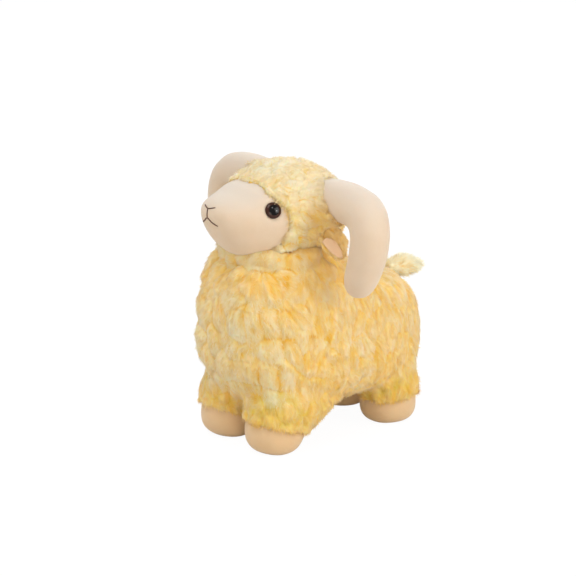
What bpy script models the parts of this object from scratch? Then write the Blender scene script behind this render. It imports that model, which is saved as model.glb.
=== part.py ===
"""A standing plush sheep with curled horns, built from its sewn covers, its filling and its safety eyes.

Metres, +Z up. The sheep faces -Y and its left side is +X. The floor is Z = 0 and the box of the whole toy is
centred on X = 0 and Y = 0. Every main form is worked out about the middle of the four feet, and the parent
empty at the end moves all of it so that nose and tail reach equally far.
"""
import math

import bmesh
import bpy
from mathutils import Matrix, Vector
from mathutils.bvhtree import BVHTree

# Body, measured about the middle of the four feet
BODY_LENGTH = 0.214
BODY_WIDTH = 0.124
BELLY_HEIGHT = 0.0285
BACK_HEIGHT = 0.1485
# Tiers of the chest: how high the lowest crease lies above the belly, how far apart they are, and how deep
TIER_RISE = 0.0575
TIER_SPACING = 0.0240
TIER_DEPTH = 0.0028
# Head with its muzzle: the crown stands above the back, and the nose reaches past the chest
HEAD_LENGTH = 0.150
HEAD_WIDTH = 0.098
HEAD_DEPTH = 0.090
CROWN_RISE = 0.103
NOSE_OVERHANG = 0.0110
# Face panel: the seam lies where a drum across the head meets its surface, behind the nose and below the crown
FACE_DRUM_RADIUS = 0.0325
FACE_DRUM_BACK = 0.0280
FACE_DRUM_DROP = 0.0450
# Horns: how far they stand out from the head on each side, and where they leave it
HORN_RADIUS = 0.0185
HORN_STANDOUT = 0.0645
HORN_TOP_DROP = 0.0100
HORN_DROP = 0.079
HORN_BEHIND_EYES = 0.0550
# Legs and feet: the legs stand in from each end of the body and reach up into it
LEG_SPACING = 0.0612
LEG_INSET = 0.0395
LEG_WIDTH = 0.0575
LEG_LENGTH = 0.0575
LEG_TUCK = 0.046
FOOT_WIDTH = 0.0550
FOOT_LENGTH = 0.0570
FOOT_HEIGHT = 0.0225
FRONT_SEAM_TOE = 0.0300
FRONT_SEAM_HEEL = 0.0115
REAR_SEAM_TOE = 0.0195
REAR_SEAM_HEEL = 0.0235
SOLE_CUT = 0.0005
# Ears, behind the nose and below the crown
EAR_LENGTH = 0.029
EAR_WIDTH = 0.0235
EAR_BEAD_RADIUS = 0.0022
EAR_BACK_THICKNESS = 0.0036
EAR_LINING_THICKNESS = 0.0014
EAR_BACK = 0.0930
EAR_DROP = 0.0575
# Tail, below the top of the back
TAIL_LENGTH = 0.0400
TAIL_WIDTH = 0.021
TAIL_THICKNESS = 0.018
TAIL_BEAD_RADIUS = 0.005
TAIL_DROP = 0.0225
# Eyes, behind the nose and below the crown
EYE_DIAMETER = 0.0144
EYE_DOME = 0.0048
EYE_RIM = 0.0012
EYE_SINK = 0.0008
EYE_STEM_RADIUS = 0.0020
EYE_STEM_LENGTH = 0.0140
EYE_STEM_RIDGE = 0.0003
EYE_BACK = 0.0470
EYE_DROP = 0.0315
WASHER_RADIUS = 0.0070
WASHER_THICKNESS = 0.0014
WASHER_HUB_RADIUS = 0.0036
WASHER_HUB_HEIGHT = 0.0030
WASHER_PLAY = 0.0003
# Embroidered nose and mouth, below the crown
THREAD_RADIUS = 0.00045
NOSE_DROP = 0.0306
NOSE_ARM = 0.0070
NOSE_ARM_RISE = 0.0018
LIP_DROP = 0.0066
MOUTH_ARM = 0.0100
MOUTH_ARM_DROP = 0.0068
# Cloth and seams
FLEECE_THICKNESS = 0.0040
VELOUR_THICKNESS = 0.0015
SEAM_ALLOWANCE = 0.0060
SEAM_GAP = 0.0003
GROOVE_PLAY = 0.0002
CUT_OVERRUN = 0.0100

# Places that follow from these sizes, about the middle of the four feet
HEAD_TOP = BACK_HEIGHT + CROWN_RISE
NOSE_REACH = BODY_LENGTH / 2 + NOSE_OVERHANG
FACE_DRUM_FORWARD = NOSE_REACH - FACE_DRUM_BACK
FACE_DRUM_HEIGHT = HEAD_TOP - FACE_DRUM_DROP
EYE_FORWARD = NOSE_REACH - EYE_BACK
EYE_HEIGHT = HEAD_TOP - EYE_DROP
NOSE_HEIGHT = HEAD_TOP - NOSE_DROP
EAR_FORWARD = NOSE_REACH - EAR_BACK
EAR_HEIGHT = HEAD_TOP - EAR_DROP
HORN_SPAN = HEAD_WIDTH + HORN_STANDOUT * 2
HORN_TOP = HEAD_TOP - HORN_TOP_DROP
HORN_FORWARD = EYE_FORWARD - HORN_BEHIND_EYES
LEG_TRACK = BODY_LENGTH - LEG_INSET * 2
LEG_REACH = BELLY_HEIGHT + LEG_TUCK
TAIL_HEIGHT = BACK_HEIGHT - TAIL_DROP

# Counts of facets
BODY_SIDES = 28
BODY_RINGS = 15
HEAD_SIDES = 24
HEAD_RINGS = 13
HORN_SIDES = 14
HORN_RINGS = 13
LEG_SIDES = 18
EYE_SIDES = 16
LEAF_SIDES = 12
THREAD_SIDES = 6
DRUM_STEPS = 24
DOME_STEPS = 6
STEM_RIDGES = 3
TIER_CREASES = 3

# Colours, linear
FLEECE_YELLOW = (0.86, 0.69, 0.30, 1.0)
VELOUR_CREAM = (0.82, 0.66, 0.50, 1.0)
HORN_CREAM = (0.80, 0.70, 0.58, 1.0)
FILLING_WHITE = (0.90, 0.90, 0.88, 1.0)
EYE_BROWN = (0.03, 0.012, 0.008, 1.0)
WASHER_WHITE = (0.75, 0.75, 0.72, 1.0)
THREAD_BROWN = (0.10, 0.04, 0.03, 1.0)

# Along the body from chest to rump: place as a share of the half length, then width, floor and top as shares
# of the half width and of the height between belly and back
BODY_PLACE_SHARES = (-1.0, -0.6, -0.25, 0.1, 0.5, 1.0)
BODY_WIDTH_SHARES = (0.97, 1.0, 1.0, 0.98, 1.0, 0.96)
BODY_FLOOR_SHARES = (0.10, 0.0, 0.0, 0.0, 0.0, 0.04)
BODY_MIDDLE_SHARES = (0.64, 0.62, 0.55, 0.48, 0.43, 0.37)
BODY_TOP_SHARES = (1.28, 1.38, 1.34, 1.10, 0.99, 0.94)
BODY_FULLNESS_SHARES = (3.3, 2.9)
# Where the tiers begin behind the chest and where they are full, in shares of the length, and the half width of
# a crease as a share of the spacing
TIER_REACH_SHARES = (0.24, 0.40)
CREASE_SHARE = 0.36
# Along the head from nose to nape, in shares of the half width and of the depth below the crown
HEAD_PLACE_SHARES = (-1.0, -0.62, -0.3, 0.05, 0.5, 1.0)
HEAD_WIDTH_SHARES = (0.74, 0.80, 0.92, 1.0, 1.0, 0.94)
HEAD_TOP_SHARES = (0.15, 0.14, 0.07, 0.0, 0.0, 0.07)
HEAD_MIDDLE_SHARES = (0.36, 0.45, 0.50, 0.5, 0.52, 0.55)
HEAD_FLOOR_SHARES = (0.80, 0.94, 1.0, 1.04, 1.04, 1.0)
HEAD_FULLNESS_SHARES = (2.3, 2.15)
DRUM_FLARE_SHARE = 1.6
# Up a limb from its sole: height as a share of the foot, then of the leg, with radius shares of foot and leg
FOOT_RISE_SHARES = (0.0, 0.06, 0.22, 0.5, 1.0)
FOOT_RADIUS_SHARES = (0.60, 0.74, 0.90, 1.0, 1.0)
LEG_RISE_SHARES = (0.25, 0.6, 1.0)
LEG_RADIUS_SHARES = (1.0, 0.92, 0.72)
# How far each of those rings reaches ahead of the leg's middle, and behind it
FRONT_AHEAD_SHARES = (0.60, 0.70, 0.84, 0.95, 0.97, 0.90, 0.88, 0.86)
REAR_AHEAD_SHARES = (1.0, 1.0, 1.0, 1.0, 1.0, 1.0, 1.0, 1.0)
FRONT_BEHIND_SHARES = (1.0, 1.0, 1.0, 1.03, 1.85, 2.75, 2.65, 2.2)
REAR_BEHIND_SHARES = (1.0, 1.0, 1.0, 0.98, 0.96, 0.96, 0.96, 0.96)
# Horn centreline from inside the head to the tip: out, back and up as shares of the half span, of the drop
# and of the drop below the top, then thickness from root to tip
HORN_OUT_SHARES = (0.25, 0.42, 0.60, 0.775, 0.852, 0.855, 0.82, 0.775)
HORN_BACK_SHARES = (0.0, 0.0, 0.02, 0.04, 0.02, 0.0, -0.01, -0.02)
HORN_UP_SHARES = (0.03, 0.0, 0.0, 0.055, 0.21, 0.45, 0.66, 0.83)
HORN_THICKNESS_SHARES = (0.95, 0.97, 0.98, 0.99, 0.95, 0.91, 0.87, 0.80)
# Leaf outlines from root to tip: place along the length and half width
LEAF_PLACE_SHARES = (0.12, 0.30, 0.50, 0.70, 0.86, 0.96)
LEAF_WIDTH_SHARES = (0.80, 0.95, 1.0, 0.86, 0.58, 0.28)
TAIL_WIDTH_SHARES = (0.86, 1.0, 0.96, 0.80, 0.55, 0.28)
TAIL_BULK_SHARES = (0.66, 1.0, 0.98, 0.80, 0.55, 0.30)
EAR_BULK_SHARES = (1.0, 1.0, 1.0, 1.0, 0.82, 0.52)
LINING_SHARE = 0.78
# Bead: how far its axis stands off the skin, as a share of its radius, and where its rings lie about the axis
BEAD_STAND_SHARES = (0.5, 0.95)
BEAD_ANGLES = (-60, -20, 20)
LEAF_FULLNESS_SHARE = 2.6
HORN_TIP_ANGLES = (35, 65)
STEM_TIP_SHARE = 0.6
MOUTH_BEND_SHARE = 0.62
SLIVER_SHARE = 0.03
CRUMB_SHARE = 0.01
EAR_DIRECTION_SHARES = (0.44, 0.46, -0.76)
TAIL_DIRECTION_SHARES = (0.0, 0.995, -0.10)


def clear_scene():
    """Empties the scene without closing the file that this runs from."""
    for item in list(bpy.data.objects):
        bpy.data.objects.remove(item, do_unlink=True)


def plain_material(name, colour, roughness, sheen=0.0):
    """A Principled material in the piece's own colour."""
    material = bpy.data.materials.new(name)
    material.use_nodes = True
    shader = material.node_tree.nodes["Principled BSDF"]
    shader.inputs["Base Color"].default_value = colour
    shader.inputs["Roughness"].default_value = roughness
    shader.inputs["Metallic"].default_value = 0.0
    shader.inputs["Sheen Weight"].default_value = sheen
    return material


def blend_table(places, values, place):
    """Reads a table at any place with smooth steps between its entries."""
    if place <= places[0]:
        return values[0]
    for low, high, start, end in zip(places, places[1:], values, values[1:]):
        if place <= high:
            step = (place - low) / (high - low)
            ease = 0.5 * step + 0.5 * step * step * (3 - 2 * step)
            return start + (end - start) * ease
    return values[-1]


def rounded(angle, fullness):
    """Cosine and sine of an angle, squared off by the fullness of a superellipse."""
    across = math.copysign(abs(math.cos(angle)) ** (2 / fullness), math.cos(angle))
    along = math.copysign(abs(math.sin(angle)) ** (2 / fullness), math.sin(angle))
    return across, along


def finished_object(name, shape):
    """Turns a bmesh into a smooth-shaded object with its faces pointing out."""
    bmesh.ops.recalc_face_normals(shape, faces=shape.faces)
    mesh = bpy.data.meshes.new(name)
    shape.to_mesh(mesh)
    shape.free()
    mesh.shade_smooth()
    item = bpy.data.objects.new(name, mesh)
    bpy.context.scene.collection.objects.link(item)
    return item


def loft(name, rings, first_pole=None, last_pole=None):
    """Joins rings of points into one closed skin, with a point or a flat cap at each end."""
    shape = bmesh.new()
    loops = [[shape.verts.new(point) for point in ring] for ring in rings]
    sides = len(loops[0])
    for lower, upper in zip(loops, loops[1:]):
        for side in range(sides):
            after = (side + 1) % sides
            shape.faces.new((lower[side], lower[after], upper[after], upper[side]))
    for pole, loop in ((first_pole, loops[0]), (last_pole, loops[-1])):
        if pole is None:
            shape.faces.new(loop)
            continue
        tip = shape.verts.new(pole)
        for side in range(sides):
            shape.faces.new((loop[side], loop[(side + 1) % sides], tip))
    return finished_object(name, shape)


def swollen_form(name, centre_y, half_length, half_width, heights_at, width_at, fullness, rings, sides):
    """A stuffed form along Y: cross sections that close to a point at both ends."""
    length_fullness, ring_fullness = fullness
    loops = []
    for step in range(1, rings):
        angle = math.pi * step / rings - math.pi / 2
        shrink, place = rounded(angle, length_fullness)
        floor, middle, top = heights_at(place)
        loop = []
        for side in range(sides):
            across, rise = rounded(math.tau * side / sides, ring_fullness)
            height = (top - middle) if rise > 0 else (middle - floor)
            loop.append(
                (
                    across * shrink * half_width * width_at(place),
                    centre_y + place * half_length,
                    middle + rise * shrink * height,
                )
            )
        loops.append(loop)
    poles = [(0, centre_y + end * half_length, heights_at(end)[1]) for end in (-1, 1)]
    return loft(name, loops, poles[0], poles[1])


def body_form():
    """The loaf-shaped body with its raised chest."""
    rise = BACK_HEIGHT - BELLY_HEIGHT

    def heights(place):
        tables = (BODY_FLOOR_SHARES, BODY_MIDDLE_SHARES, BODY_TOP_SHARES)
        return [BELLY_HEIGHT + rise * blend_table(BODY_PLACE_SHARES, table, place) for table in tables]

    return swollen_form(
        "body_form",
        0,
        BODY_LENGTH / 2,
        BODY_WIDTH / 2,
        heights,
        lambda place: blend_table(BODY_PLACE_SHARES, BODY_WIDTH_SHARES, place),
        BODY_FULLNESS_SHARES,
        BODY_RINGS,
        BODY_SIDES,
    )


def tiered(form, name):
    """A copy of the body's form with creases pressed across its chest."""
    half_crease = TIER_SPACING * CREASE_SHARE
    creases = [BELLY_HEIGHT + TIER_RISE + TIER_SPACING * number for number in range(TIER_CREASES)]
    start, full = (-BODY_LENGTH * share for share in TIER_REACH_SHARES)
    twin = copy_of(form, name)
    shape = bmesh.new()
    shape.from_mesh(twin.data)
    bmesh.ops.triangulate(shape, faces=shape.faces)
    for crease in creases:
        for height in (crease - half_crease, crease, crease + half_crease):
            faces = [face for face in shape.faces if min(corner.co.y for corner in face.verts) < start]
            edges = list({edge for face in faces for edge in face.edges})
            corners = list({corner for face in faces for corner in face.verts})
            level = Vector((0, 0, height))
            bmesh.ops.bisect_plane(shape, geom=faces + edges + corners, plane_co=level, plane_no=(0, 0, 1))
    bmesh.ops.triangulate(shape, faces=shape.faces)
    shape.normal_update()
    moves = []
    for corner in shape.verts:
        ahead = min(max((corner.co.y - start) / (full - start), 0), 1)
        near = max(1 - abs(corner.co.z - crease) / half_crease for crease in creases)
        if ahead > 0 and near > 0:
            moves.append((corner, corner.normal * -TIER_DEPTH * ahead * near))
    for corner, move in moves:
        corner.co += move
    shape.to_mesh(twin.data)
    shape.free()
    return twin


def head_form():
    """Head and muzzle as one form: a blunt wedge that swells to the crown."""

    def heights(place):
        tables = (HEAD_FLOOR_SHARES, HEAD_MIDDLE_SHARES, HEAD_TOP_SHARES)
        return [HEAD_TOP - HEAD_DEPTH * blend_table(HEAD_PLACE_SHARES, table, place) for table in tables]

    return swollen_form(
        "head_form",
        HEAD_LENGTH / 2 - NOSE_REACH,
        HEAD_LENGTH / 2,
        HEAD_WIDTH / 2,
        heights,
        lambda place: blend_table(HEAD_PLACE_SHARES, HEAD_WIDTH_SHARES, place),
        HEAD_FULLNESS_SHARES,
        HEAD_RINGS,
        HEAD_SIDES,
    )


def face_drum(margin):
    """The drum across the head whose round back is the seam of the face panel; it is open to the front."""
    radius = FACE_DRUM_RADIUS + margin
    middle = Vector((0, -FACE_DRUM_FORWARD, FACE_DRUM_HEIGHT))
    section = [(-HEAD_LENGTH, -radius * DRUM_FLARE_SHARE)]
    for step in range(DRUM_STEPS + 1):
        angle = math.pi * step / DRUM_STEPS - math.pi / 2
        section.append((radius * math.cos(angle), radius * math.sin(angle)))
    section.append((-HEAD_LENGTH, radius * DRUM_FLARE_SHARE))
    rings = []
    for end in (-1, 1):
        rings.append([middle + Vector((end * HEAD_WIDTH, back, up)) for back, up in section])
    return loft("face_drum", rings)


def limb_form(x, y, ahead_shares, behind_shares):
    """Foot and leg as one upright fleece-thick form, still round under its sole."""
    lowest = -(SOLE_CUT + FLEECE_THICKNESS - VELOUR_THICKNESS)
    rings = []
    for rise, radius in zip(FOOT_RISE_SHARES, FOOT_RADIUS_SHARES):
        height = lowest + rise * (FOOT_HEIGHT - lowest)
        rings.append((height, FOOT_WIDTH / 2 * radius, FOOT_LENGTH / 2 * radius))
    for rise, radius in zip(LEG_RISE_SHARES, LEG_RADIUS_SHARES):
        height = FOOT_HEIGHT + rise * (LEG_REACH - FOOT_HEIGHT)
        rings.append((height, LEG_WIDTH / 2 * radius, LEG_LENGTH / 2 * radius))
    loops = []
    for (height, half_width, half_length), ahead, behind in zip(rings, ahead_shares, behind_shares):
        loop = []
        for side in range(LEG_SIDES):
            angle = math.tau * side / LEG_SIDES
            reach = half_length * (behind if math.sin(angle) > 0 else ahead)
            loop.append((x + half_width * math.cos(angle), y + reach * math.sin(angle), height))
        loops.append(loop)
    return loft("limb_form", loops)


def horn_form(name):
    """The left horn: a thick tube that leaves the head sideways and curls down, blunt at its tip."""
    half_span = HORN_SPAN / 2
    top = HORN_TOP - HORN_RADIUS
    knots = []
    for out, back, up in zip(HORN_OUT_SHARES, HORN_BACK_SHARES, HORN_UP_SHARES):
        knots.append(Vector((out * half_span, back * HORN_DROP - HORN_FORWARD, top - up * HORN_DROP)))
    line = smooth_line(knots, HORN_RINGS)
    thickness = smooth_line([Vector((share, 0, 0)) for share in HORN_THICKNESS_SHARES], HORN_RINGS)
    loops = []
    side_axis = Vector((0, 1, 0))
    for number, point in enumerate(line):
        before, after = line[max(number - 1, 0)], line[min(number + 1, len(line) - 1)]
        other = (after - before).normalized().cross(side_axis).normalized()
        loops.append(ring_about(point, side_axis, other, HORN_RADIUS * thickness[number].x, HORN_SIDES))
    end = line[-1]
    tip_radius = HORN_RADIUS * HORN_THICKNESS_SHARES[-1]
    along = (line[-1] - line[-2]).normalized()
    other = along.cross(side_axis).normalized()
    for angle in map(math.radians, HORN_TIP_ANGLES):
        centre = end + along * tip_radius * math.sin(angle)
        loops.append(ring_about(centre, side_axis, other, tip_radius * math.cos(angle), HORN_SIDES))
    return loft(name, loops, None, end + along * tip_radius)


def ring_about(centre, first, second, radius, sides):
    """A round ring of points spanned by two directions."""
    ring = []
    for side in range(sides):
        angle = math.tau * side / sides
        ring.append(centre + first * radius * math.cos(angle) + second * radius * math.sin(angle))
    return ring


def smooth_line(knots, count):
    """Evenly counted points on a smooth curve through the knots."""
    ends = [knots[0] * 2 - knots[1]] + list(knots) + [knots[-1] * 2 - knots[-2]]
    line = []
    spans = len(knots) - 1
    for number in range(count):
        place = spans * number / (count - 1)
        span = min(int(place), spans - 1)
        step = place - span
        before, start, end, after = ends[span : span + 4]
        line.append(
            0.5
            * (
                start * 2
                + (end - before) * step
                + (before * 2 - start * 5 + end * 4 - after) * step**2
                + (start * 3 - before - end * 3 + after) * step**3
            )
        )
    return line


def copy_of(item, name):
    """An independent copy of an object."""
    twin = bpy.data.objects.new(name, item.data.copy())
    twin.matrix_world = item.matrix_world.copy()
    bpy.context.scene.collection.objects.link(twin)
    return twin


def grown(item, amount, name="grown_form"):
    """A copy whose skin is moved out along its normals, or in where the amount is negative."""
    twin = copy_of(item, name)
    shape = bmesh.new()
    shape.from_mesh(twin.data)
    shape.normal_update()
    moves = [(corner, corner.normal * amount * corner.calc_shell_factor()) for corner in shape.verts]
    for corner, move in moves:
        corner.co += move
    shape.to_mesh(twin.data)
    shape.free()
    return twin


def mirrored(item, name):
    """The same shape on the other side of the toy."""
    twin = copy_of(item, name)
    twin.data.transform(Matrix.Scale(-1, 4, Vector((1, 0, 0))))
    twin.data.flip_normals()
    return twin


def measure(mesh):
    """Whether a mesh is closed, and the volume inside it."""
    shape = bmesh.new()
    shape.from_mesh(mesh)
    closed = all(edge.is_manifold for edge in shape.edges)
    volume = shape.calc_volume()
    shape.free()
    return closed, volume


def boolean(piece, tool, operation, solver):
    """The mesh that one Boolean gives; the piece itself stays as it is."""
    modifier = piece.modifiers.new("Carve", "BOOLEAN")
    modifier.operation = operation
    modifier.object = tool
    modifier.solver = solver
    graph = bpy.context.evaluated_depsgraph_get()
    result = bpy.data.meshes.new_from_object(piece.evaluated_get(graph))
    piece.modifiers.clear()
    return result


def carve(piece, tool, operation="DIFFERENCE"):
    """Applies the exact solver's cut, or the manifold solver's where the exact one breaks the piece."""
    _, whole = measure(piece.data)
    result = boolean(piece, tool, operation, "EXACT")
    closed, left = measure(result)
    if not closed or not whole * CRUMB_SHARE < left < whole * (1 + CRUMB_SHARE):
        result = boolean(piece, tool, operation, "MANIFOLD")
    piece.data = result


def drop(*items):
    """Removes forms and tools that are no longer needed."""
    for item in items:
        bpy.data.objects.remove(item, do_unlink=True)


def drop_crumbs(shape):
    """Deletes the loose crumbs that cuts leave beside the largest body of a bmesh."""
    waiting = set(shape.faces)
    bodies = []
    while waiting:
        front = [waiting.pop()]
        body = list(front)
        while front:
            face = front.pop()
            beside = {other for edge in face.edges for other in edge.link_faces} & waiting
            waiting -= beside
            front.extend(beside)
            body.extend(beside)
        bodies.append(body)
    bodies.sort(key=lambda body: sum(face.calc_area() for face in body))
    crumbs = [face for body in bodies[:-1] for face in body]
    corners = list({corner for face in crumbs for corner in face.verts})
    bmesh.ops.delete(shape, geom=corners, context="VERTS")


def tidy_mesh(piece):
    """Melts the slivers that cuts leave and triangulates what is left."""
    shape = bmesh.new()
    shape.from_mesh(piece.data)
    drop_crumbs(shape)
    bmesh.ops.dissolve_degenerate(shape, dist=SEAM_GAP * SLIVER_SHARE, edges=shape.edges)
    bmesh.ops.triangulate(shape, faces=shape.faces)
    shape.to_mesh(piece.data)
    shape.free()


def shell_of(form, thickness, name):
    """A cover of even thickness inside a form."""
    cover = copy_of(form, name)
    inner = grown(form, -thickness)
    carve(cover, inner)
    drop(inner)
    return cover


def box_tool(low, high):
    """A plain block to cut with."""
    shape = bmesh.new()
    bmesh.ops.create_cube(shape, size=1)
    for corner in shape.verts:
        corner.co = Vector([low[k] if corner.co[k] < 0 else high[k] for k in range(3)])
    return finished_object("box_tool", shape)


def turned(name, profile, sides):
    """A turned solid from (radius, height) points listed from its lower end; both ends are on the axis."""
    rings = []
    for radius, height in profile[1:-1]:
        rings.append(ring_about(Vector((0, 0, height)), Vector((1, 0, 0)), Vector((0, 1, 0)), radius, sides))
    return loft(name, rings, (0, 0, profile[0][1]), (0, 0, profile[-1][1]))


def surface_of(item):
    """A search tree of an object's skin in world space."""
    corners = [item.matrix_world @ corner.co for corner in item.data.vertices]
    return BVHTree.FromPolygons(corners, [face.vertices[:] for face in item.data.polygons])


def seat_matrix(point, out, across):
    """A frame at a point, with its Z along out and its X along across."""
    z_axis = out.normalized()
    x_axis = (across - z_axis * across.dot(z_axis)).normalized()
    y_axis = z_axis.cross(x_axis)
    turn = Matrix((x_axis, y_axis, z_axis)).transposed().to_4x4()
    return Matrix.Translation(point) @ turn


def eye_profile():
    """The moulded eye: ridged stem, flat back, short rim and dome."""
    radius = EYE_DIAMETER / 2
    profile = [(0, -EYE_STEM_LENGTH), (EYE_STEM_RADIUS * STEM_TIP_SHARE, -EYE_STEM_LENGTH)]
    pitch = EYE_STEM_LENGTH / (STEM_RIDGES * 2 + 1)
    for ridge in range(STEM_RIDGES):
        start = -EYE_STEM_LENGTH + pitch * (1 + 2 * ridge)
        profile.append((EYE_STEM_RADIUS, start))
        profile.append((EYE_STEM_RADIUS + EYE_STEM_RIDGE, start + pitch))
    profile.append((EYE_STEM_RADIUS, 0))
    profile.append((radius, 0))
    for step in range(DOME_STEPS):
        angle = math.pi / 2 * step / DOME_STEPS
        height = EYE_RIM + (EYE_DOME - EYE_RIM) * math.sin(angle)
        profile.append((radius * math.cos(angle), height))
    profile.append((0, EYE_DOME))
    return profile


def eye_place(skin):
    """Where the left eye sits: the point of the face skin at the eye's height, found from the side."""
    start = Vector((HEAD_WIDTH, -EYE_FORWARD, EYE_HEIGHT))
    point, normal, _, _ = skin.ray_cast(start, Vector((-1, 0, 0)))
    return point, normal


def make_eye(side, point, normal, face_cover, filling):
    """One safety eye, its lock washer behind the cloth, and their room in cloth and filling."""
    name = "left" if side > 0 else "right"
    at = Vector((point.x * side, point.y, point.z))
    out = Vector((normal.x * side, normal.y, normal.z)).normalized()
    frame = seat_matrix(at - out * EYE_SINK, out, Vector((0, 0, 1)))
    eye = turned(f"eye_{name}", eye_profile(), EYE_SIDES)
    eye.matrix_world = frame
    back = -(VELOUR_THICKNESS + EYE_SINK)
    hole = EYE_STEM_RADIUS + EYE_STEM_RIDGE + WASHER_PLAY
    washer_ring = [
        (hole, back - WASHER_HUB_HEIGHT),
        (WASHER_HUB_RADIUS, back - WASHER_HUB_HEIGHT),
        (WASHER_HUB_RADIUS, back - WASHER_THICKNESS),
        (WASHER_RADIUS, back - WASHER_THICKNESS),
        (WASHER_RADIUS, back),
        (hole, back),
    ]
    washer = turned_ring(f"eye_washer_{name}", washer_ring, EYE_SIDES)
    washer.matrix_world = frame
    room = EYE_DIAMETER / 2 + SEAM_GAP
    dimple = turned(
        "dimple",
        [(0, -SEAM_GAP), (room, -SEAM_GAP), (room, EYE_DOME + CUT_OVERRUN), (0, EYE_DOME + CUT_OVERRUN)],
        EYE_SIDES,
    )
    bore = turned(
        "bore",
        [
            (0, -EYE_STEM_LENGTH - SEAM_GAP),
            (hole, -EYE_STEM_LENGTH - SEAM_GAP),
            (hole, CUT_OVERRUN),
            (0, CUT_OVERRUN),
        ],
        EYE_SIDES,
    )
    pocket_radius = WASHER_RADIUS + SEAM_GAP
    pocket = turned(
        "pocket",
        [
            (0, back - WASHER_HUB_HEIGHT - SEAM_GAP),
            (pocket_radius, back - WASHER_HUB_HEIGHT - SEAM_GAP),
            (pocket_radius, CUT_OVERRUN),
            (0, CUT_OVERRUN),
        ],
        EYE_SIDES,
    )
    for tool in (dimple, bore, pocket):
        tool.matrix_world = frame
    carve(face_cover, dimple)
    carve(face_cover, bore)
    carve(filling, bore)
    carve(filling, pocket)
    drop(dimple, bore, pocket)
    return eye, washer


def turned_ring(name, section, sides):
    """A turned ring from a closed section of (radius, height) points."""
    shape = bmesh.new()
    loops = []
    for side in range(sides):
        angle = math.tau * side / sides
        turn = Vector((math.cos(angle), math.sin(angle), 0))
        loops.append([shape.verts.new(turn * radius + Vector((0, 0, height))) for radius, height in section])
    count = len(section)
    for side in range(sides):
        here, after = loops[side], loops[(side + 1) % sides]
        for number in range(count):
            following = (number + 1) % count
            shape.faces.new((here[number], here[following], after[following], after[number]))
    return finished_object(name, shape)


def leaf(name, length, bead, half_widths, half_bulks, lift=0.0):
    """A flat leaf along local Y whose root is a round bead about local X, the joint's axis."""
    rings = []
    if bead:
        root_width = half_widths[0][1]
        for angle in map(math.radians, BEAD_ANGLES):
            rings.append((bead * math.sin(angle), root_width, bead * math.cos(angle)))
    for (place, width), (_, bulk) in zip(half_widths, half_bulks):
        rings.append((place * length, width, bulk))
    loops = []
    for place, width, bulk in rings:
        loop = []
        for side in range(LEAF_SIDES):
            across, rise = rounded(math.tau * side / LEAF_SIDES, LEAF_FULLNESS_SHARE)
            loop.append((width * across, place, lift + bulk * rise))
        loops.append(loop)
    first = (0, -bead, lift) if bead else None
    return loft(name, loops, first, (0, length, lift))


def groove_tool(frame, width, radius):
    """The round groove in which a leaf's bead is sewn."""
    across, along, facing = (frame.col[k].to_3d() for k in range(3))
    rings = []
    for end in (-1, 1):
        centre = frame.translation + across * end * (width + SEAM_GAP)
        rings.append(ring_about(centre, along, facing, radius + SEAM_GAP + GROOVE_PLAY, EYE_SIDES))
    return loft("groove", rings)


def make_ear(side, skin, head_cover):
    """One ear: a fleece back with its sewn root, and a velour lining on its outer face."""
    name = "left" if side > 0 else "right"
    start = Vector((HEAD_WIDTH, -EAR_FORWARD, EAR_HEIGHT))
    point, normal, _, _ = skin.ray_cast(start, Vector((-1, 0, 0)))
    along = Vector(EAR_DIRECTION_SHARES).normalized()
    across = normal.cross(along).normalized()
    facing = across.cross(along)
    at = point + normal * EAR_BEAD_RADIUS * BEAD_STAND_SHARES[0]
    for vector in (at, along, across, facing):
        vector.x *= side
    frame = Matrix((across, along, facing)).transposed().to_4x4()
    frame.translation = at
    half = EAR_WIDTH / 2
    widths = [(place, half * share) for place, share in zip(LEAF_PLACE_SHARES, LEAF_WIDTH_SHARES)]
    thick = EAR_BACK_THICKNESS / 2
    bulks = [(place, thick * share) for place, share in zip(LEAF_PLACE_SHARES, EAR_BULK_SHARES)]
    back = leaf(f"ear_{name}_back", EAR_LENGTH, EAR_BEAD_RADIUS, widths, bulks)
    thin = EAR_LINING_THICKNESS / 2
    lining_widths = [(place, width * LINING_SHARE) for place, width in widths]
    lining_bulks = [(place, thin * share) for place, share in zip(LEAF_PLACE_SHARES, EAR_BULK_SHARES)]
    lift = -(thick + thin + SEAM_GAP)
    lining = leaf(f"ear_{name}_lining", EAR_LENGTH * LEAF_PLACE_SHARES[-1], 0, lining_widths, lining_bulks, lift)
    right_handed = frame.to_3x3().determinant() > 0
    for piece in (back, lining):
        if not right_handed:
            piece.data.transform(Matrix.Scale(-1, 4, Vector((1, 0, 0))))
            piece.data.flip_normals()
    if not right_handed:
        frame = frame @ Matrix.Scale(-1, 4, Vector((1, 0, 0)))
    for piece in (back, lining):
        piece.matrix_world = frame
    groove = groove_tool(frame, half, EAR_BEAD_RADIUS)
    carve(head_cover, groove)
    drop(groove)
    return back, lining


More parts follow.
